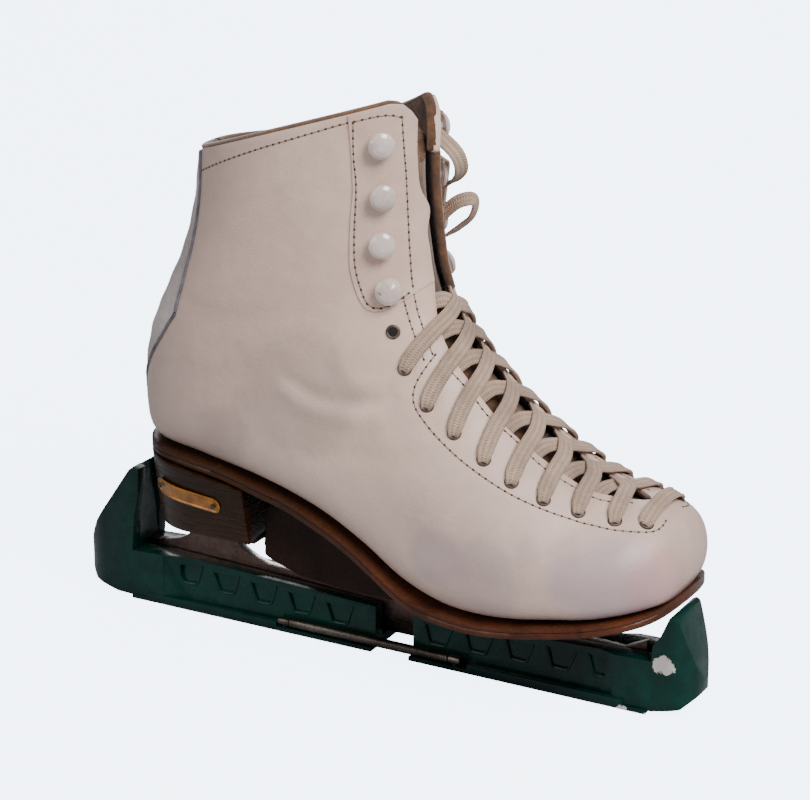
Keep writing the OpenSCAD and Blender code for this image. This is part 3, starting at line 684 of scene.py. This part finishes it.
stitch_lines = [
    [(11.5, 30), (11.45, 46), (11.25, 53), (10.8, 55), (9.6, 53), (7.95, 47), (6.05, 40.5), (4.5, 39),
     (3.55, 34), (3.2, 26), (3.2, 16)],
    [(21.8, 55), (21, 54), (19.85, 50.5), (17.2, 47.5), (15.7, 45.5), (14.8, 44), (14.4, 40),
     (14.3, 33), (14.35, 27)],
    [(21.7, 27), (19.9, 23), (17.95, 22), (15.15, 23), (12.85, 27), (11.6, 31)],
    [(14.3, 30), (12.9, 33), (11.7, 37)],
    [(21.55, 146), (21.7, 109), (21.76, 90), (21.8, 72), (21.82, 60), (21.8, 42), (21.7, 28)],
]
throat_line = [(11.2, 29), (10, 25), (9.25, 25), (8.4, 22), (7.5, 22), (6.5, 20), (5.5, 19), (4.7, 12)]
stitch_pitch = 3.05
holes, threads = [], []
for side in (1, -1):
    for line in stitch_lines + [throat_line]:
        t, angle = surface_line(line, side, stitch_pitch)
        spot = leather_at(t, angle)
        lift = np.where((t > 14.2) & (np.abs(angle) < 57), 0.72 * mm, 0.0)[:, None]
        normal = outward(t, angle)
        spot = spot + normal * lift
        ahead = unit(np.gradient(spot, axis=0))
        across = np.cross(normal, ahead)
        for i in range(len(spot)):
            holes.append(((ahead[i], across[i], normal[i]), spot[i]))
        for i in range(len(spot) - 1):
            halfway = (spot[i] + spot[i + 1]) / 2 + normal[i] * 0.05 * mm
            threads.append(((ahead[i], across[i], normal[i]), halfway))
# Painted shade: a small dark bead at each stitch hole
hole_shade, tree, shader = finish("stitch_hole_shade", "4a372e", 0.9, patches=(400.0, "5a463b", "35271f"))
thread_wax, tree, shader = finish("stitch_thread", "b7a391", 0.6, patches=(300.0, "a8917e", "75604f"))
for name, seed, spots, material in [("stitch_shade_beads", bead(1.5, 0.95, 0.5), holes, hole_shade),
                                    ("stitch_threads", bead(2.1, 0.55, 0.5), threads, thread_wax)]:
    piece = copies(name, seed, spots, material)
    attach(piece, "skate")

# Back strip: soft white leather over foam, set into the notch above the heel.
def strip_row(t, cols):
    half = 180 - float(rear_edge(t)) - 1.2
    share = np.linspace(1, -1, cols)
    angles = 180 + half * share
    crown = -0.2 - 1.3 * (1 - share ** 4) * min(1, half / 20)
    ripple = 0.25 * math.sin(t * 9) * (1 - share ** 2)
    return boot(t, np.where(angles > 180, angles - 360, angles), np.minimum(crown + ripple, 0.4))


white_trim, tree, shader = finish("white_trim", "e4dfdb", 0.4, Coat_Weight=0.2)
paint(tree, shader, "Base Color", marks(tree, mottled(tree, 40.0, "c4b6b1", "978a87"),
                                        [((-111, 0, 100), 16, 0.5, "b3a8a5")]))
relief(tree, shader, leather_grain(tree, 1100, 2.0), 0.0003)
strip = laid_grid("heel_strip", [strip_row(t, 33) for t in np.linspace(15.3, rim - 0.05, 60)])
strip = smooth(thicken(strip, 1.6, 0.5), white_trim, 50)
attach(strip, "skate")
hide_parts("back_strip")

# Piping: a dark grey cord sewn along the rear edge of each quarter.
piping_dark, tree, shader = finish("dark_piping", "5f5b60", 0.7, Sheen_Weight=0.2,
                                   patches=(150.0, "77727a", "454148"))
uv = tree.nodes.new("ShaderNodeUVMap").outputs[0]
relief(tree, shader, use(tree, braid, Place=uv, Yarns=4.0, Rows=1.0)["Height"], 0.0001)


def round_tube(name, path, radius, sides=10, spread=None):
    """A round cord along points, with a radius in mm for each or for all."""
    ahead = unit(np.gradient(path, axis=0))
    hint = np.array([0.0, 1.0, 0.0]) if spread is None else np.array(spread)
    a = unit(np.cross(ahead, hint))
    b = np.cross(ahead, a)
    turn = np.linspace(0, 2 * math.pi, sides, endpoint=False)
    wide = np.broadcast_to(np.asarray(radius, float), (len(path),))[:, None] * mm
    rings = np.stack([path + wide * (math.cos(w) * a + math.sin(w) * b) for w in turn], axis=1)
    return laid_tube(name, rings, length_scale=1 * mm)


piping_parts = []
for side in (1, -1):
    t = np.linspace(15.2, rim - 0.03, 90)
    path = boot(t, side * (rear_edge(t) + 0.9), -0.1)
    piping_parts.append(round_tube("piping_cord", path, 0.85, 10, spread=(0.3, 0.2, 1)))
piping = smooth(joined(piping_parts, "quarter_piping"), piping_dark)
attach(piping, "skate")
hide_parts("piping")

# Hook patches: a second layer of the white leather, sewn on under the four hooks of each side.
def patch_end(t):
    return np.interp(t, [14.15, 14.25, 14.45, 14.8, 15.6, 17, 20, 22], [33, 40, 44, 46, 47.5, 49.5, 52.5, 58])


for side, word in ((1, "outer"), (-1, "inner")):
    edge = front_edge(side)
    rows = half_rows(side, np.linspace(14.15, rim - 0.02, 70), lambda t: edge(t) + 0.6, patch_end, 26,
                     depth=-0.72)
    patch = smooth(thicken(laid_grid("patch_" + word, rows), 0.85, 0.4, 3), white_leather, 60)
    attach(patch, "skate")
    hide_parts("hook_patch_" + word)

# Lining: brown leather lining, glued to the facings and padded behind them round the ankle.
suede, tree, shader = finish("brown_lining", "7a5a3c", 0.9, Sheen_Weight=0.4, Sheen_Roughness=0.5)
# Painted shade: the lining darkens towards the heel, deep inside the boot
paint(tree, shader, "Base Color", marks(tree, mottled(tree, 35.0, "70492c", "3a2314", 1.4),
                                        [((-60, 0, 110), 60, 0.5, "3a281b")]))
nap = add(tree, "TexNoise", {"Vector": place(tree), "Scale": 900, "Detail": 3})
relief(tree, shader, nap.outputs[0], 0.0004)
lining_rows = np.concatenate([np.linspace(0.4, 5, 24), np.linspace(5.2, rim - 0.02, 90)])


def lining_depth(t, angles):
    start = float(facing(t)) + 4
    share = np.clip((angles - start) / 26, 0, 1) if t > throat_end else np.ones(len(angles))
    return 2.05 + 1.85 * share * share * (3 - 2 * share)


lining_parts = []
for side in (1, -1):
    edge = front_edge(side)
    lining_parts.append(laid_grid("lining_half", half_rows(
        side, lining_rows, lambda t: edge(t) + 0.3 if t > throat_end else 0.0, lambda t: 180.0, 50,
        depth=lining_depth)))
lining = smooth(thicken(sewn(joined(lining_parts, "boot_lining"), 0.05), 0.9, 0.25), suede, 50)
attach(lining, "skate")
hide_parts("lining_outer", "lining_inner")

# Collar binding: the lining turned over the rim, one strip on each half.
binding_parts = []
for side in (1, -1):
    angles = side * np.linspace(float(facing(rim)) + 1.5, 179, 90)
    middle = boot(rim, angles, 2.5) + np.array([0, 0, 0.1 * mm])
    normal = unit(outward(rim, angles) * np.array([1, 1, 0.2]))
    turn = np.linspace(0, 2 * math.pi, 14, endpoint=False)
    rings = np.stack([middle + normal * 2.35 * mm * math.cos(w) + np.array([0, 0, 1.5 * mm * math.sin(w)])
                      for w in turn], axis=1)
    binding_parts.append(laid_tube("binding_half", rings))
edge_t = np.linspace(13.4, rim - 0.02, 70)
edge_angle = -np.array([float(facing(t)) for t in edge_t]) + 0.5
binding_parts.append(round_tube("binding_edge", boot(edge_t, edge_angle, 0.9), 1.9, 10, spread=(0, 1, 0.01)))
binding = smooth(joined(binding_parts, "rim_binding"), suede)
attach(binding, "skate")
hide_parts("collar_binding")

# Collar foam, toe box and heel counter: the hidden padding and fibre stiffeners of the boot.
foam_tan, tree, shader = finish("foam", "cbb68c", 0.95, patches=(90.0, "d6c39b", "b39c72"))
relief(tree, shader, add(tree, "TexVoronoi", {"Vector": place(tree), "Scale": 900}).outputs[0], 0.0004)
foam_parts = [laid_grid("foam_half", half_rows(side, np.linspace(17, 21.5, 30), lambda t: 58.0,
                                               lambda t: 114.0, 26, depth=2.35)) for side in (1, -1)]
foam = smooth(thicken(joined(foam_parts, "collar_foam"), 1.2, 0.4), foam_tan)
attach(foam, "skate")
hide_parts("collar_padding")
fibre, tree, shader = finish("stiffener", "b39c75", 0.9, patches=(200.0, "bfa982", "927c58"))
relief(tree, shader, noise(tree, 1500, 2), 0.0002)


def give(node, material):
    """A CAD node keeps its shape and gets its real finish."""
    piece = frame["nodes"][node]
    piece.data.materials.clear()
    piece.data.materials.append(material)


for node in ("toe_box", "heel_counter", "insole_board"):
    give(node, fibre)

# Tongue: padded, in one piece from the vamp to above the rim, brown suede outside and felt
# within. It bends at the instep.
def tongue_half(t):
    return np.interp(t, [4.6, 6, 8, 12, 14, 23], [22, 30, 38, 46, 50, 58])


def tongue_rows(t0, t1, rows, cols, deep, share):
    grid = []
    for t in np.linspace(t0, t1, rows):
        across = np.linspace(1, -1, cols)
        swell = 0.5 * np.cos(across * math.pi / 2) ** 0.5 + 0.12 * np.cos(across * 14)
        end = 1 - 0.35 * max(0.0, (t - t1 + 0.8) / 0.8) ** 3
        grid.append(boot(t, across * float(tongue_half(t)) * share * end, deep - swell))
    return grid


tongue = laid_grid("padded_tongue", tongue_rows(5, 21.2, 110, 41, 6.0, 1))
tongue = smooth(thicken(tongue, 2.9, 1.1, 3), suede, 60)
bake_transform(tongue)
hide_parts("tongue_lower", "tongue_upper")
felt_tan, tree, shader = finish("tongue_felt", "9d8055", 0.95, Sheen_Weight=0.5,
                                patches=(80.0, "ab8e62", "7c623e"))
relief(tree, shader, noise(tree, 700, 4), 0.0005)
felt = laid_grid("tongue_felt_pad", tongue_rows(5.2, 12.2, 50, 31, 9.4, 0.85))
felt = smooth(thicken(felt, 1.1, 0.4), felt_tan)
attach(felt, "skate")
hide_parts("tongue_lining")

# Eyelets: ten dull metal rings a side, pressed through the facing, with a black disc of painted shade inside
# each for its hole.
eyelets = [(13.25, 42), (12, 48), (10.8, 49), (9.75, 46), (8.8, 43), (7.95, 41), (7, 38), (5.95, 34),
           (4.8, 32), (3.8, 27)]
ring_metal, tree, shader = finish("eyelet_metal", "54463e", 0.55, metallic=0.5,
                                  patches=(500.0, "6d5c52", "342a25"))
# Painted shade: a black disc in each eyelet for the shade in its hole
eyelet_shade_black, tree, shader = finish("eyelet_hole_shade", "120d0b", 0.95, patches=(300.0, "1c1512", "090706"))
for side, word in ((1, "outer"), (-1, "inner")):
    spots = []
    for t, a in eyelets:
        z = outward(t, side * a)
        x = unit(boot(t + 0.1, side * a) - boot(t - 0.1, side * a))
        spots.append(((x, np.cross(z, x), z), leather_at(np.array([t]), np.array([side * a]), 0.1)[0]))
    deselect()
    bpy.ops.mesh.primitive_torus_add(major_segments=28, minor_segments=8, major_radius=2.35 * mm,
                                     minor_radius=0.62 * mm)
    rings = copies("eyelet_rings_" + word, bpy.context.object, spots, ring_metal)
    deselect()
    bpy.ops.mesh.primitive_cylinder_add(vertices=24, radius=2.0 * mm, depth=0.5 * mm)
    shade_discs = copies("eyelet_shade_discs_" + word, bpy.context.object, spots, eyelet_shade_black)
    for piece in (rings, shade_discs):
        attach(piece, "skate")
    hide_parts("eyelets_" + word)

# Hooks: four domed lace hooks a side, steel with a glossy white enamel, riveted through.
enamel, tree, shader = finish("hook_enamel", "ddd0ca", 0.18, Coat_Weight=0.5, Coat_Roughness=0.08)
chips = noise(tree, 420, 4)
base = mottled(tree, 60.0, "dccbc3", "bfaaa3")
paint(tree, shader, "Base Color", blended(tree, ramp(tree, chips, 0.68, 0.72), base, tint("7d716b")))
paint(tree, shader, "Roughness", ramp(tree, chips, 0.6, 0.72, 0.14, 0.5))
for word in ("outer", "inner"):
    give("hooks_" + word, enamel)

# Threaded lace: flat woven lace that comes up between the facings, goes over an edge and down
# into the next eyelet, on both sides in turn, with a straight bar at the toe.
def lace_route(i, side):
    """Station, angle and height in mm of the lace into eyelet i of a side."""
    low, high = eyelets[i], eyelets[i - 1]
    edge = max(float(facing(low[0])), 8)
    far = max(float(facing(high[0])), 8)
    middle = (low[0] + high[0]) / 2
    over = 1.0 if side > 0 else 0.0
    rise = high[0] - low[0]
    return [
        (low[0] - 0.03 * rise, side * (low[1] + 1.8), -1.3),
        (low[0] + 0.01 * rise, side * (low[1] - 0.4), 0.9),
        (low[0] + 0.08 * rise, side * (low[1] * 0.72 + edge * 0.28), 1.9),
        (low[0] + 0.16 * rise, side * (edge + 5), 1.8 + 1.6 * over),
        (middle - 0.25 * rise, side * edge * 0.6, 2.0 + 1.6 * over),
        (middle, 0, 2.0 + over), (middle + 0.3 * rise, -side * far * 0.5, 0.4),
        (high[0] - 0.08 * rise, -side * (far + 1), -2.6), (high[0] - 0.03 * rise, -side * (far + 7), -4.1)]


crossings = []
for side in (-1, 1):
    for i in range(1, 9):
        route = np.array(lace_route(i, side))
        fine = curve_through(route * [12, 1, 1], 56)
        t, angle, height = fine[:, 0] / 12, fine[:, 1], fine[:, 2]
        normal = outward(t, angle)
        path = boot(t, angle) + normal * height[:, None] * mm
        gone = np.concatenate([[0], np.cumsum(np.linalg.norm(np.diff(path, axis=0), axis=1))]) / mm
        narrow = np.clip(0.5 + gone / 12, 0.5, 1)
        crossings.append(lace_band("lace_crossing", path, normal, narrow))
bar = np.linspace(30, -30, 54)
bar_height = 2.0 - 4.0 * (np.abs(bar) / 30) ** 9
normal = outward(3.85, bar)
path = boot(3.85, bar) + normal * (bar_height[:, None] + 1.6 * np.cos(np.radians(bar * 3.2))[:, None]) * mm
crossings.append(lace_band("lace_bar", path, normal, np.clip(0.6 + (30 - np.abs(bar)) / 12, 0.6, 1)))
loops = [[(1, 22, 219), (7, 20, 220), (15, 19, 217), (22, 21, 210), (22, 25, 202), (16, 29, 196),
          (8, 31, 193)],
         [(6, 27, 176), (13, 23, 182), (22, 22, 190), (28, 25, 191), (25, 29, 183), (16, 31, 175),
          (8, 32, 170)]]
for loop in loops:
    path = curve_through(np.array(loop) * mm, 60)
    crossings.append(lace_band("lace_loop", path, path - path.mean(axis=0) + np.array([0, -0.004, 0.002])))
threaded = smooth(joined(crossings, "threaded_lace"), lace_cotton)
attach(threaded, "skate")
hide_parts("lace")

# Footbed and shank: a cloth-covered foam footbed over the insole board, with a steel shank in
# the waist.
sole_rows = np.array([
    (-109, 80, 6, 6), (-107, 80, 14, 14), (-102, 79.8, 22, 22), (-94, 79.4, 28.5, 28.5),
    (-80, 78.4, 32.5, 32), (-62, 76.2, 33.5, 32.5), (-45, 72.3, 34, 32), (-30, 68.4, 34, 31),
    (-18, 63.8, 34.5, 31), (-7, 59, 35, 31.5), (4, 53.3, 36, 33), (14, 47.6, 37.5, 35),
    (24, 41.9, 39, 38), (33, 38.4, 40.5, 40), (43, 36.4, 41.5, 42), (61, 35.9, 43.5, 44),
    (79, 37.9, 44, 44), (94, 40.4, 42.5, 44.5), (108, 42.4, 39, 43.5), (120, 44.9, 34, 39.5),
    (129, 47.3, 27, 33.5), (134, 49.4, 20, 27), (137, 51.4, 12, 19), (138.6, 52.6, 4, 10)], float)
bed_rows = curve_through(sole_rows[3:19], 90)
across = np.linspace(-1, 1, 25)
bed = []
for x, z, outer, inner in bed_rows:
    y = np.where(across < 0, across * (outer - 13.5), across * (inner - 13.5))
    height = z + 12.6 + 1.4 * across ** 4 - 0.3 * np.cos(across * 3)
    bed.append(np.stack([np.full(25, x), y, height], axis=1) * mm)
bed_cloth, tree, shader = finish("footbed_cloth", "b09b78", 0.95, Sheen_Weight=0.3,
                                 patches=(60.0, "bda885", "8d7857"))
relief(tree, shader, add(tree, "TexChecker", {"Vector": place(tree), "Scale": 1200}).outputs[1], 0.0001)
bed_grid = np.array(bed)[:, ::-1]
footbed = laid_grid("cushioned_footbed", bed_grid[::-1])
footbed = smooth(thicken(footbed, 2.6, 0.8, 3), bed_cloth, 60)
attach(footbed, "skate")
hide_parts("footbed")


def steel(name, light, dark, roughness, brush):
    """Worn satin steel, brushed along X."""
    material, tree, shader = finish(name, light, roughness, metallic=1.0)
    stretched = add(tree, "Mapping", {"Vector": place(tree), "Scale": (60, 2500, 2500)}).outputs[0]
    lines = add(tree, "TexNoise", {"Vector": stretched, "Scale": 1.0, "Detail": 2}).outputs[0]
    paint(tree, shader, "Base Color", mottled(tree, 50.0, light, dark))
    paint(tree, shader, "Roughness", ramp(tree, lines, 0.3, 0.7, roughness - 0.06, roughness + 0.1))
    relief(tree, shader, lines, brush)
    return material


give("shank", steel("shank_steel", "8b8c8e", "66676a", 0.4, 0.00004))

# Outsole: one thick piece of sole leather from heel to toe, its edge grooved, stained reddish
# brown and varnished.
sole_drop, sole_thick, sole_inset = 0.8, 3.3, 2.0
sole_rise, edge_stretch = 0.4, 1.36
edge_profile = [(-0.5, 0), (-0.12, 0.12), (0, 0.45), (0.05, 1.05), (-0.35, 1.3), (0.05, 1.55), (0.05, 2.6),
                (-0.1, 3.1), (-0.6, 3.3)]
plan = curve_through(sole_rows, 130)
rings = []
for x, z, outer, inner in plan:
    outer, inner = max(outer - sole_inset, 1.5), max(inner - sole_inset, 1.5)
    top = z + sole_rise
    rings.append([(x, -outer - out, top - edge_stretch * down) for out, down in edge_profile]
                 + [(x, y, top - edge_stretch * sole_thick)
                    for y in np.linspace(-outer * 0.8, inner * 0.8, 7)]
                 + [(x, inner + out, top - edge_stretch * down) for out, down in edge_profile[::-1]]
                 + [(x, y, top) for y in np.linspace(inner * 0.8, -outer * 0.8, 7)])
sole_leather, tree, shader = finish("sole_leather", "4a2717", 0.4, Specular_IOR_Level=0.2, Coat_Weight=0.08)
fibres = add(tree, "Mapping", {"Vector": place(tree), "Scale": (120, 120, 900)}).outputs[0]
strand = add(tree, "TexNoise", {"Vector": fibres, "Scale": 1.0, "Detail": 4}).outputs[0]
base = mottled(tree, 45.0, "5a301c", "2e170d")
back = ramp(tree, coordinate(tree, 0), -0.05, 0.06, 1.0, 0.0)
base = blended(tree, sums(tree, "MULTIPLY", back, 0.75), base, tint("2a1609"))
pale_strands = ramp(tree, strand, 0.6, 0.85, 0.0, 0.3)
paint(tree, shader, "Base Color", blended(tree, pale_strands, base, tint("6f4a31")))
paint(tree, shader, "Roughness", ramp(tree, strand, 0.3, 0.8, 0.25, 0.6))
relief(tree, shader, strand, 0.0003)
outsole = smooth(laid_tube("leather_outsole", np.array(rings) * mm), sole_leather, 50)
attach(outsole, "skate")
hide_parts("outsole")

# Heel block: lifts of leather glued in a stack, trimmed to a straight breast, stained and
# varnished, with a thin rubber lift under it.
heel_bottom, breast = 42.5, -50.0


def sole_height(x):
    return np.interp(x, sole_rows[:, 0], sole_rows[:, 1])


def under_sole(x):
    """Height of the outsole's underside."""
    return sole_height(x) - sole_drop - sole_thick - 0.2


def heel_round(k):
    """Radius and middle of the heel's round back, from 0 at its top to 1 at its bottom."""
    return 33 - 7.5 * k, -76 - 5 * k


def heel_ring(k):
    radius, centre = heel_round(k)
    turn = np.radians(np.linspace(90, -90, 61))
    x = np.concatenate([[breast - k], centre - radius * np.cos(turn), [breast - k]])
    y = np.concatenate([[-radius], -radius * np.sin(turn), [radius]])
    across = np.linspace(radius * 0.9, -radius * 0.9, 15)
    x = np.concatenate([x, breast - k - 2.2 * np.cos(across / radius * math.pi / 2)])
    y = np.concatenate([y, across])
    top = under_sole(x)
    return np.stack([x, y, top + (heel_bottom - top) * k], axis=1) * mm


heel_leather, tree, shader = finish("heel_leather", "2e1808", 0.4, Specular_IOR_Level=0.2, Coat_Weight=0.06)
height = coordinate(tree, 2)
wander = noise(tree, 60, 3)
lift_thick = 5.2 * mm
level = sums(tree, "ADD", sums(tree, "MULTIPLY", height, 2 * math.pi / lift_thick),
             sums(tree, "MULTIPLY", wander, 1.6))
lifts = ramp(tree, sums(tree, "SINE", level, 0.0), 0.9, 1.0, 0.0, 0.6)
fibres = add(tree, "Mapping", {"Vector": place(tree), "Scale": (90, 90, 1400)}).outputs[0]
strand = add(tree, "TexNoise", {"Vector": fibres, "Scale": 1.0, "Detail": 4}).outputs[0]
base = blended(tree, ramp(tree, strand, 0.3, 0.7, 0.0, 1.0), tint("221005"), tint("3a200c"))
base = blended(tree, ramp(tree, height, 0.045, 0.072, 0.0, 0.55), base, tint("180a03"))
paint(tree, shader, "Base Color", blended(tree, sums(tree, "MULTIPLY", lifts, 0.7), base, tint("120904")))
paint(tree, shader, "Roughness", ramp(tree, strand, 0.3, 0.8, 0.24, 0.5))
relief(tree, shader, sums(tree, "SUBTRACT", sums(tree, "MULTIPLY", strand, 0.3), lifts), 0.00012)
heel = laid_tube("heel_block", [heel_ring(k) for k in np.linspace(0, 1, 14)])
smooth(eased(heel, 0.7, 2, 35), heel_leather, 40)
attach(heel, "skate")
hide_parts("heel_stack")


def refined(name, node, width, material, segments=2, angle=30):
    """A hard piece with its loose triangles joined and its edges rounded by width in mm."""
    piece = bpy.data.objects.new(name, frame["nodes"][node].data.copy())
    bpy.context.scene.collection.objects.link(piece)
    choose(piece)
    bpy.ops.mesh.customdata_custom_splitnormals_clear()
    bpy.ops.object.mode_set(mode="EDIT")
    bpy.ops.mesh.select_all(action="SELECT")
    bpy.ops.mesh.remove_doubles(threshold=2e-6)
    bpy.ops.mesh.dissolve_limited(angle_limit=math.radians(0.5))
    bpy.ops.object.mode_set(mode="OBJECT")
    smooth(eased(piece, width, segments, angle), material, 40)
    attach(piece, frame["nodes"][node]["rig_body"])
    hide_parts(node)
    return piece


lift_rubber, tree, shader = finish("lift_rubber", "241c19", 0.75, patches=(120.0, "3a2f2a", "17110f"))
relief(tree, shader, noise(tree, 1800, 2), 0.00015)
refined("heel_lift", "heel_top_lift", 0.3, lift_rubber)

# Arch web: the block of leather that fills the arch, hollowed at its sides, with its
# upper rear corner rounded and set in a recess in front of the heel. It is coloured near black as painted
# shade of the arch.
web_rows = []
around = np.linspace(0, 1, 22)
for x in np.concatenate([np.linspace(-48, -34, 24), np.linspace(-33, 28, 40)]):
    top = float(under_sole(x))
    low = float(np.interp(x, [-48, -42, -28, -4, 20, 28], [40, 37, 32.8, 31.8, 32.8, 34]))
    wide = float(np.interp(x, [-48, -30, 0, 28], [23, 24, 26.5, 29]))
    z = top + (low - top) * around
    past = np.hypot(np.maximum(-36 - x, 0), np.maximum(z - (top - 12), 0))
    recess = 4.5 * np.clip((past - 9) / 1.6, 0, 1)
    half = wide + 1.5 * (1 - around) ** 6 - 1.4 * np.sin(around * math.pi) - recess
    half[-1] -= 0.8
    side_out = np.stack([np.full(22, x), -half, z], axis=1)
    side_in = np.stack([np.full(22, x), half, z], axis=1)[::-1]
    web_rows.append(np.vstack([side_out, [[x, 0, low]], side_in, [[x, 0, top]]]))
# Painted shade: the web is coloured near black for the shade in the arch
web_leather, tree, shader = finish("web_leather", "1a0d09", 0.6, Specular_IOR_Level=0.12)
base = mottled(tree, 70.0, "28160f", "120805")
rubbed = ramp(tree, noise(tree, 300, 4), 0.66, 0.74, 0.0, 0.5)
paint(tree, shader, "Base Color", blended(tree, rubbed, base, tint("26170f")))
relief(tree, shader, leather_grain(tree, 900, 1.5), 0.0002)
web = smooth(laid_tube("waist_web", np.array(web_rows) * mm), web_leather, 45)
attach(web, "skate")
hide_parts("arch_web")

# Badge: a plain amber plate with a raised rim and no lettering, bent round the heel's outer
# side and held by two dark pins.
def heel_wall(x, z):
    k = (75 - z) / 32.5
    radius, centre = heel_round(k)
    away = np.clip(np.abs(x - centre), 0, radius)
    return np.where(x > centre, -radius, -np.sqrt(radius ** 2 - away ** 2))


badge_from, badge_to, badge_half = -96.0, -62.0, 3.4
share = np.linspace(0, 1, 61)
up = np.linspace(-1, 1, 15)
badge_points = []
for s in share:
    x = badge_from + (badge_to - badge_from) * s
    end = min(s, 1 - s) * (badge_to - badge_from)
    half = badge_half * (math.sqrt(max(0, 1 - max(0, 1 - end / badge_half) ** 2)) if end < badge_half else 1)
    z = 63 - (x - badge_from) * 0.11 + up * max(half, 0.15)
    rim_height = np.where((np.abs(up) * half > half - 0.75) | (end < 0.75), 0.45, 0.0)
    badge_points.append(np.stack([np.full(15, x), heel_wall(x, z) - 1.15 - rim_height, z], axis=1) * mm)
badge_metal, tree, shader = finish("badge_metal", "a4661c", 0.34, metallic=0.3, Coat_Weight=0.3,
                                   patches=(160.0, "b87622", "6b3c10"))
badge = laid_grid("plain_badge", np.array(badge_points)[:, ::-1])
badge = smooth(thicken(badge, 0.5, 0.15), badge_metal, 35)
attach(badge, "skate")
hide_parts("badge")
pin_metal, tree, shader = finish("pin_metal", "3f2c1c", 0.4, metallic=0.6,
                                 patches=(400.0, "54402c", "291b11"))
give("badge_pins", pin_metal)

# Blade: the runner is cut from 4 mm steel with its two posts and toe picks, ground along its
# rocker; its faces that turn upwards are painted pale as a painted highlight. Two steel plates carry it, with
# countersunk screws.
blade_steel = steel("blade_steel", "6b5650", "443733", 0.32, 0.00003)
tree = blade_steel.node_tree
shader = tree.nodes["Principled BSDF"]
# Painted highlight: faces that turn upwards are painted pale
upturn_highlight = add(tree, "SeparateXYZ", {0: tree.nodes.new("ShaderNodeNewGeometry").outputs["Normal"]}).outputs[2]
old = shader.inputs["Base Color"].links[0].from_socket
paint(tree, shader, "Base Color", blended(tree, ramp(tree, upturn_highlight, 0.3, 0.8), old, tint("e4dfdc")))
refined("steel_runner", "blade_runner", 0.35, blade_steel, 2, 25)
plate_steel = steel("plate_steel", "7b716d", "4b4441", 0.38, 0.00005)
refined("steel_sole_plate", "sole_plate", 0.3, plate_steel)
refined("steel_heel_plate", "heel_plate", 0.3, plate_steel)
for node in ("sole_plate_screws", "heel_plate_screws"):
    give(node, plate_steel)

# Guard: two moulded halves of dark green, slightly glassy plastic that clip over the blade's
# ends, with five sunk windows along each wall and a rib round the lower edge of each window.
guard_plastic, tree, shader = finish("guard_plastic", "03241f", 0.25, Specular_IOR_Level=0.22,
                                     Coat_Weight=0.12, Coat_Roughness=0.06)
base = mottled(tree, 18.0, "013a31", "001411")
# Painted shade: the plastic darkens towards its bottom edge by the floor
height = coordinate(tree, 2)
base = blended(tree, ramp(tree, height, 0.0, 0.008, 0.6, 0.0), base, tint("000a09"))
chips = add(tree, "TexNoise", {"Vector": place(tree), "Scale": 130, "Detail": 6,
                               "Roughness": 0.7}).outputs[0]
scuff = None
for centre, radius in [((133, -12, 22), 7), ((126, -14, -1), 6), ((116, -14, -1), 5.5)]:
    away = distance_from(tree, centre)
    near = ramp(tree, away, 0.3 * radius * mm, radius * mm, 0.24, 0.0)
    scuff = near if scuff is None else sums(tree, "MAXIMUM", scuff, near)
worn_off = ramp(tree, sums(tree, "ADD", chips, scuff), 0.695, 0.71)
paint(tree, shader, "Base Color", blended(tree, worn_off, base, tint("c9bfbd")))
rub = noise(tree, 220, 5)
paint(tree, shader, "Roughness", sums(tree, "ADD", ramp(tree, rub, 0.35, 0.75, 0.2, 0.42),
                                      sums(tree, "MULTIPLY", worn_off, 0.4)))
relief(tree, shader, sums(tree, "SUBTRACT", sums(tree, "MULTIPLY", rub, 0.3), worn_off), 0.00008)
wall_half, window_pitch = 9.0, 18.8
window_outline = [(-0.3, 0.2), (0.9, -3.2), (2.3, -7.2), (3.4, -8.3), (9.2, -8.3), (10.3, -7.2), (11.7, -3.2),
                  (12.9, 0.2)]
for half, first, step, tilt, word in [("guard_heel_shell", (-98.5, 19.0), -0.75, -1.7, "heel"),
                                      ("guard_toe_shell", (24.0, 16.4), 0.6, 1.9, "toe")]:
    shell = refined("guard_" + word + "_moulding", half, 0.7, guard_plastic, 3)
    turn = math.radians(tilt)
    ribs = []
    for i in range(5):
        for side in (1, -1):
            path = []
            for along, above in window_outline:
                x = first[0] + i * window_pitch + along * math.cos(turn) + above * math.sin(turn)
                z = first[1] + i * step - along * math.sin(turn) + above * math.cos(turn)
                path.append((x, side * (wall_half + 0.05), z))
            path = curve_through(np.array(path) * mm, 30)
            ribs.append(round_tube("window_rib", path, 0.5, 8, spread=(0, 0.01, 1)))
    rib_piece = smooth(joined(ribs, "guard_" + word + "_ribs"), guard_plastic)
    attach(rib_piece, "guard_" + word)

# Spring: a close-wound steel coil along the outer side that pulls the two halves together. Its
# ends are crimped in a ferrule on each half.
spring_from, spring_to, spring_y, spring_z = -40.0, 37.0, -11.5, 4.2
turns, steps_round = 96, 14
w = np.linspace(0, 2 * math.pi * turns, turns * steps_round + 1)
coil = np.stack([np.linspace(spring_from + 0.4, spring_to - 0.4, len(w)), spring_y + 1.8 * np.cos(w),
                 spring_z + 1.8 * np.sin(w)], axis=1) * mm
spring_steel = steel("spring_steel", "857d73", "4e4740", 0.35, 0.00002)
spring = smooth(round_tube("coil_spring", coil, 0.37, 6, spread=(1, 0.01, 0)), spring_steel, 60)
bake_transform(spring)
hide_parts("guard_spring")
for word in ("toe", "heel"):
    refined("spring_ferrule_" + word, "spring_anchor_" + word, 0.3, spring_steel)
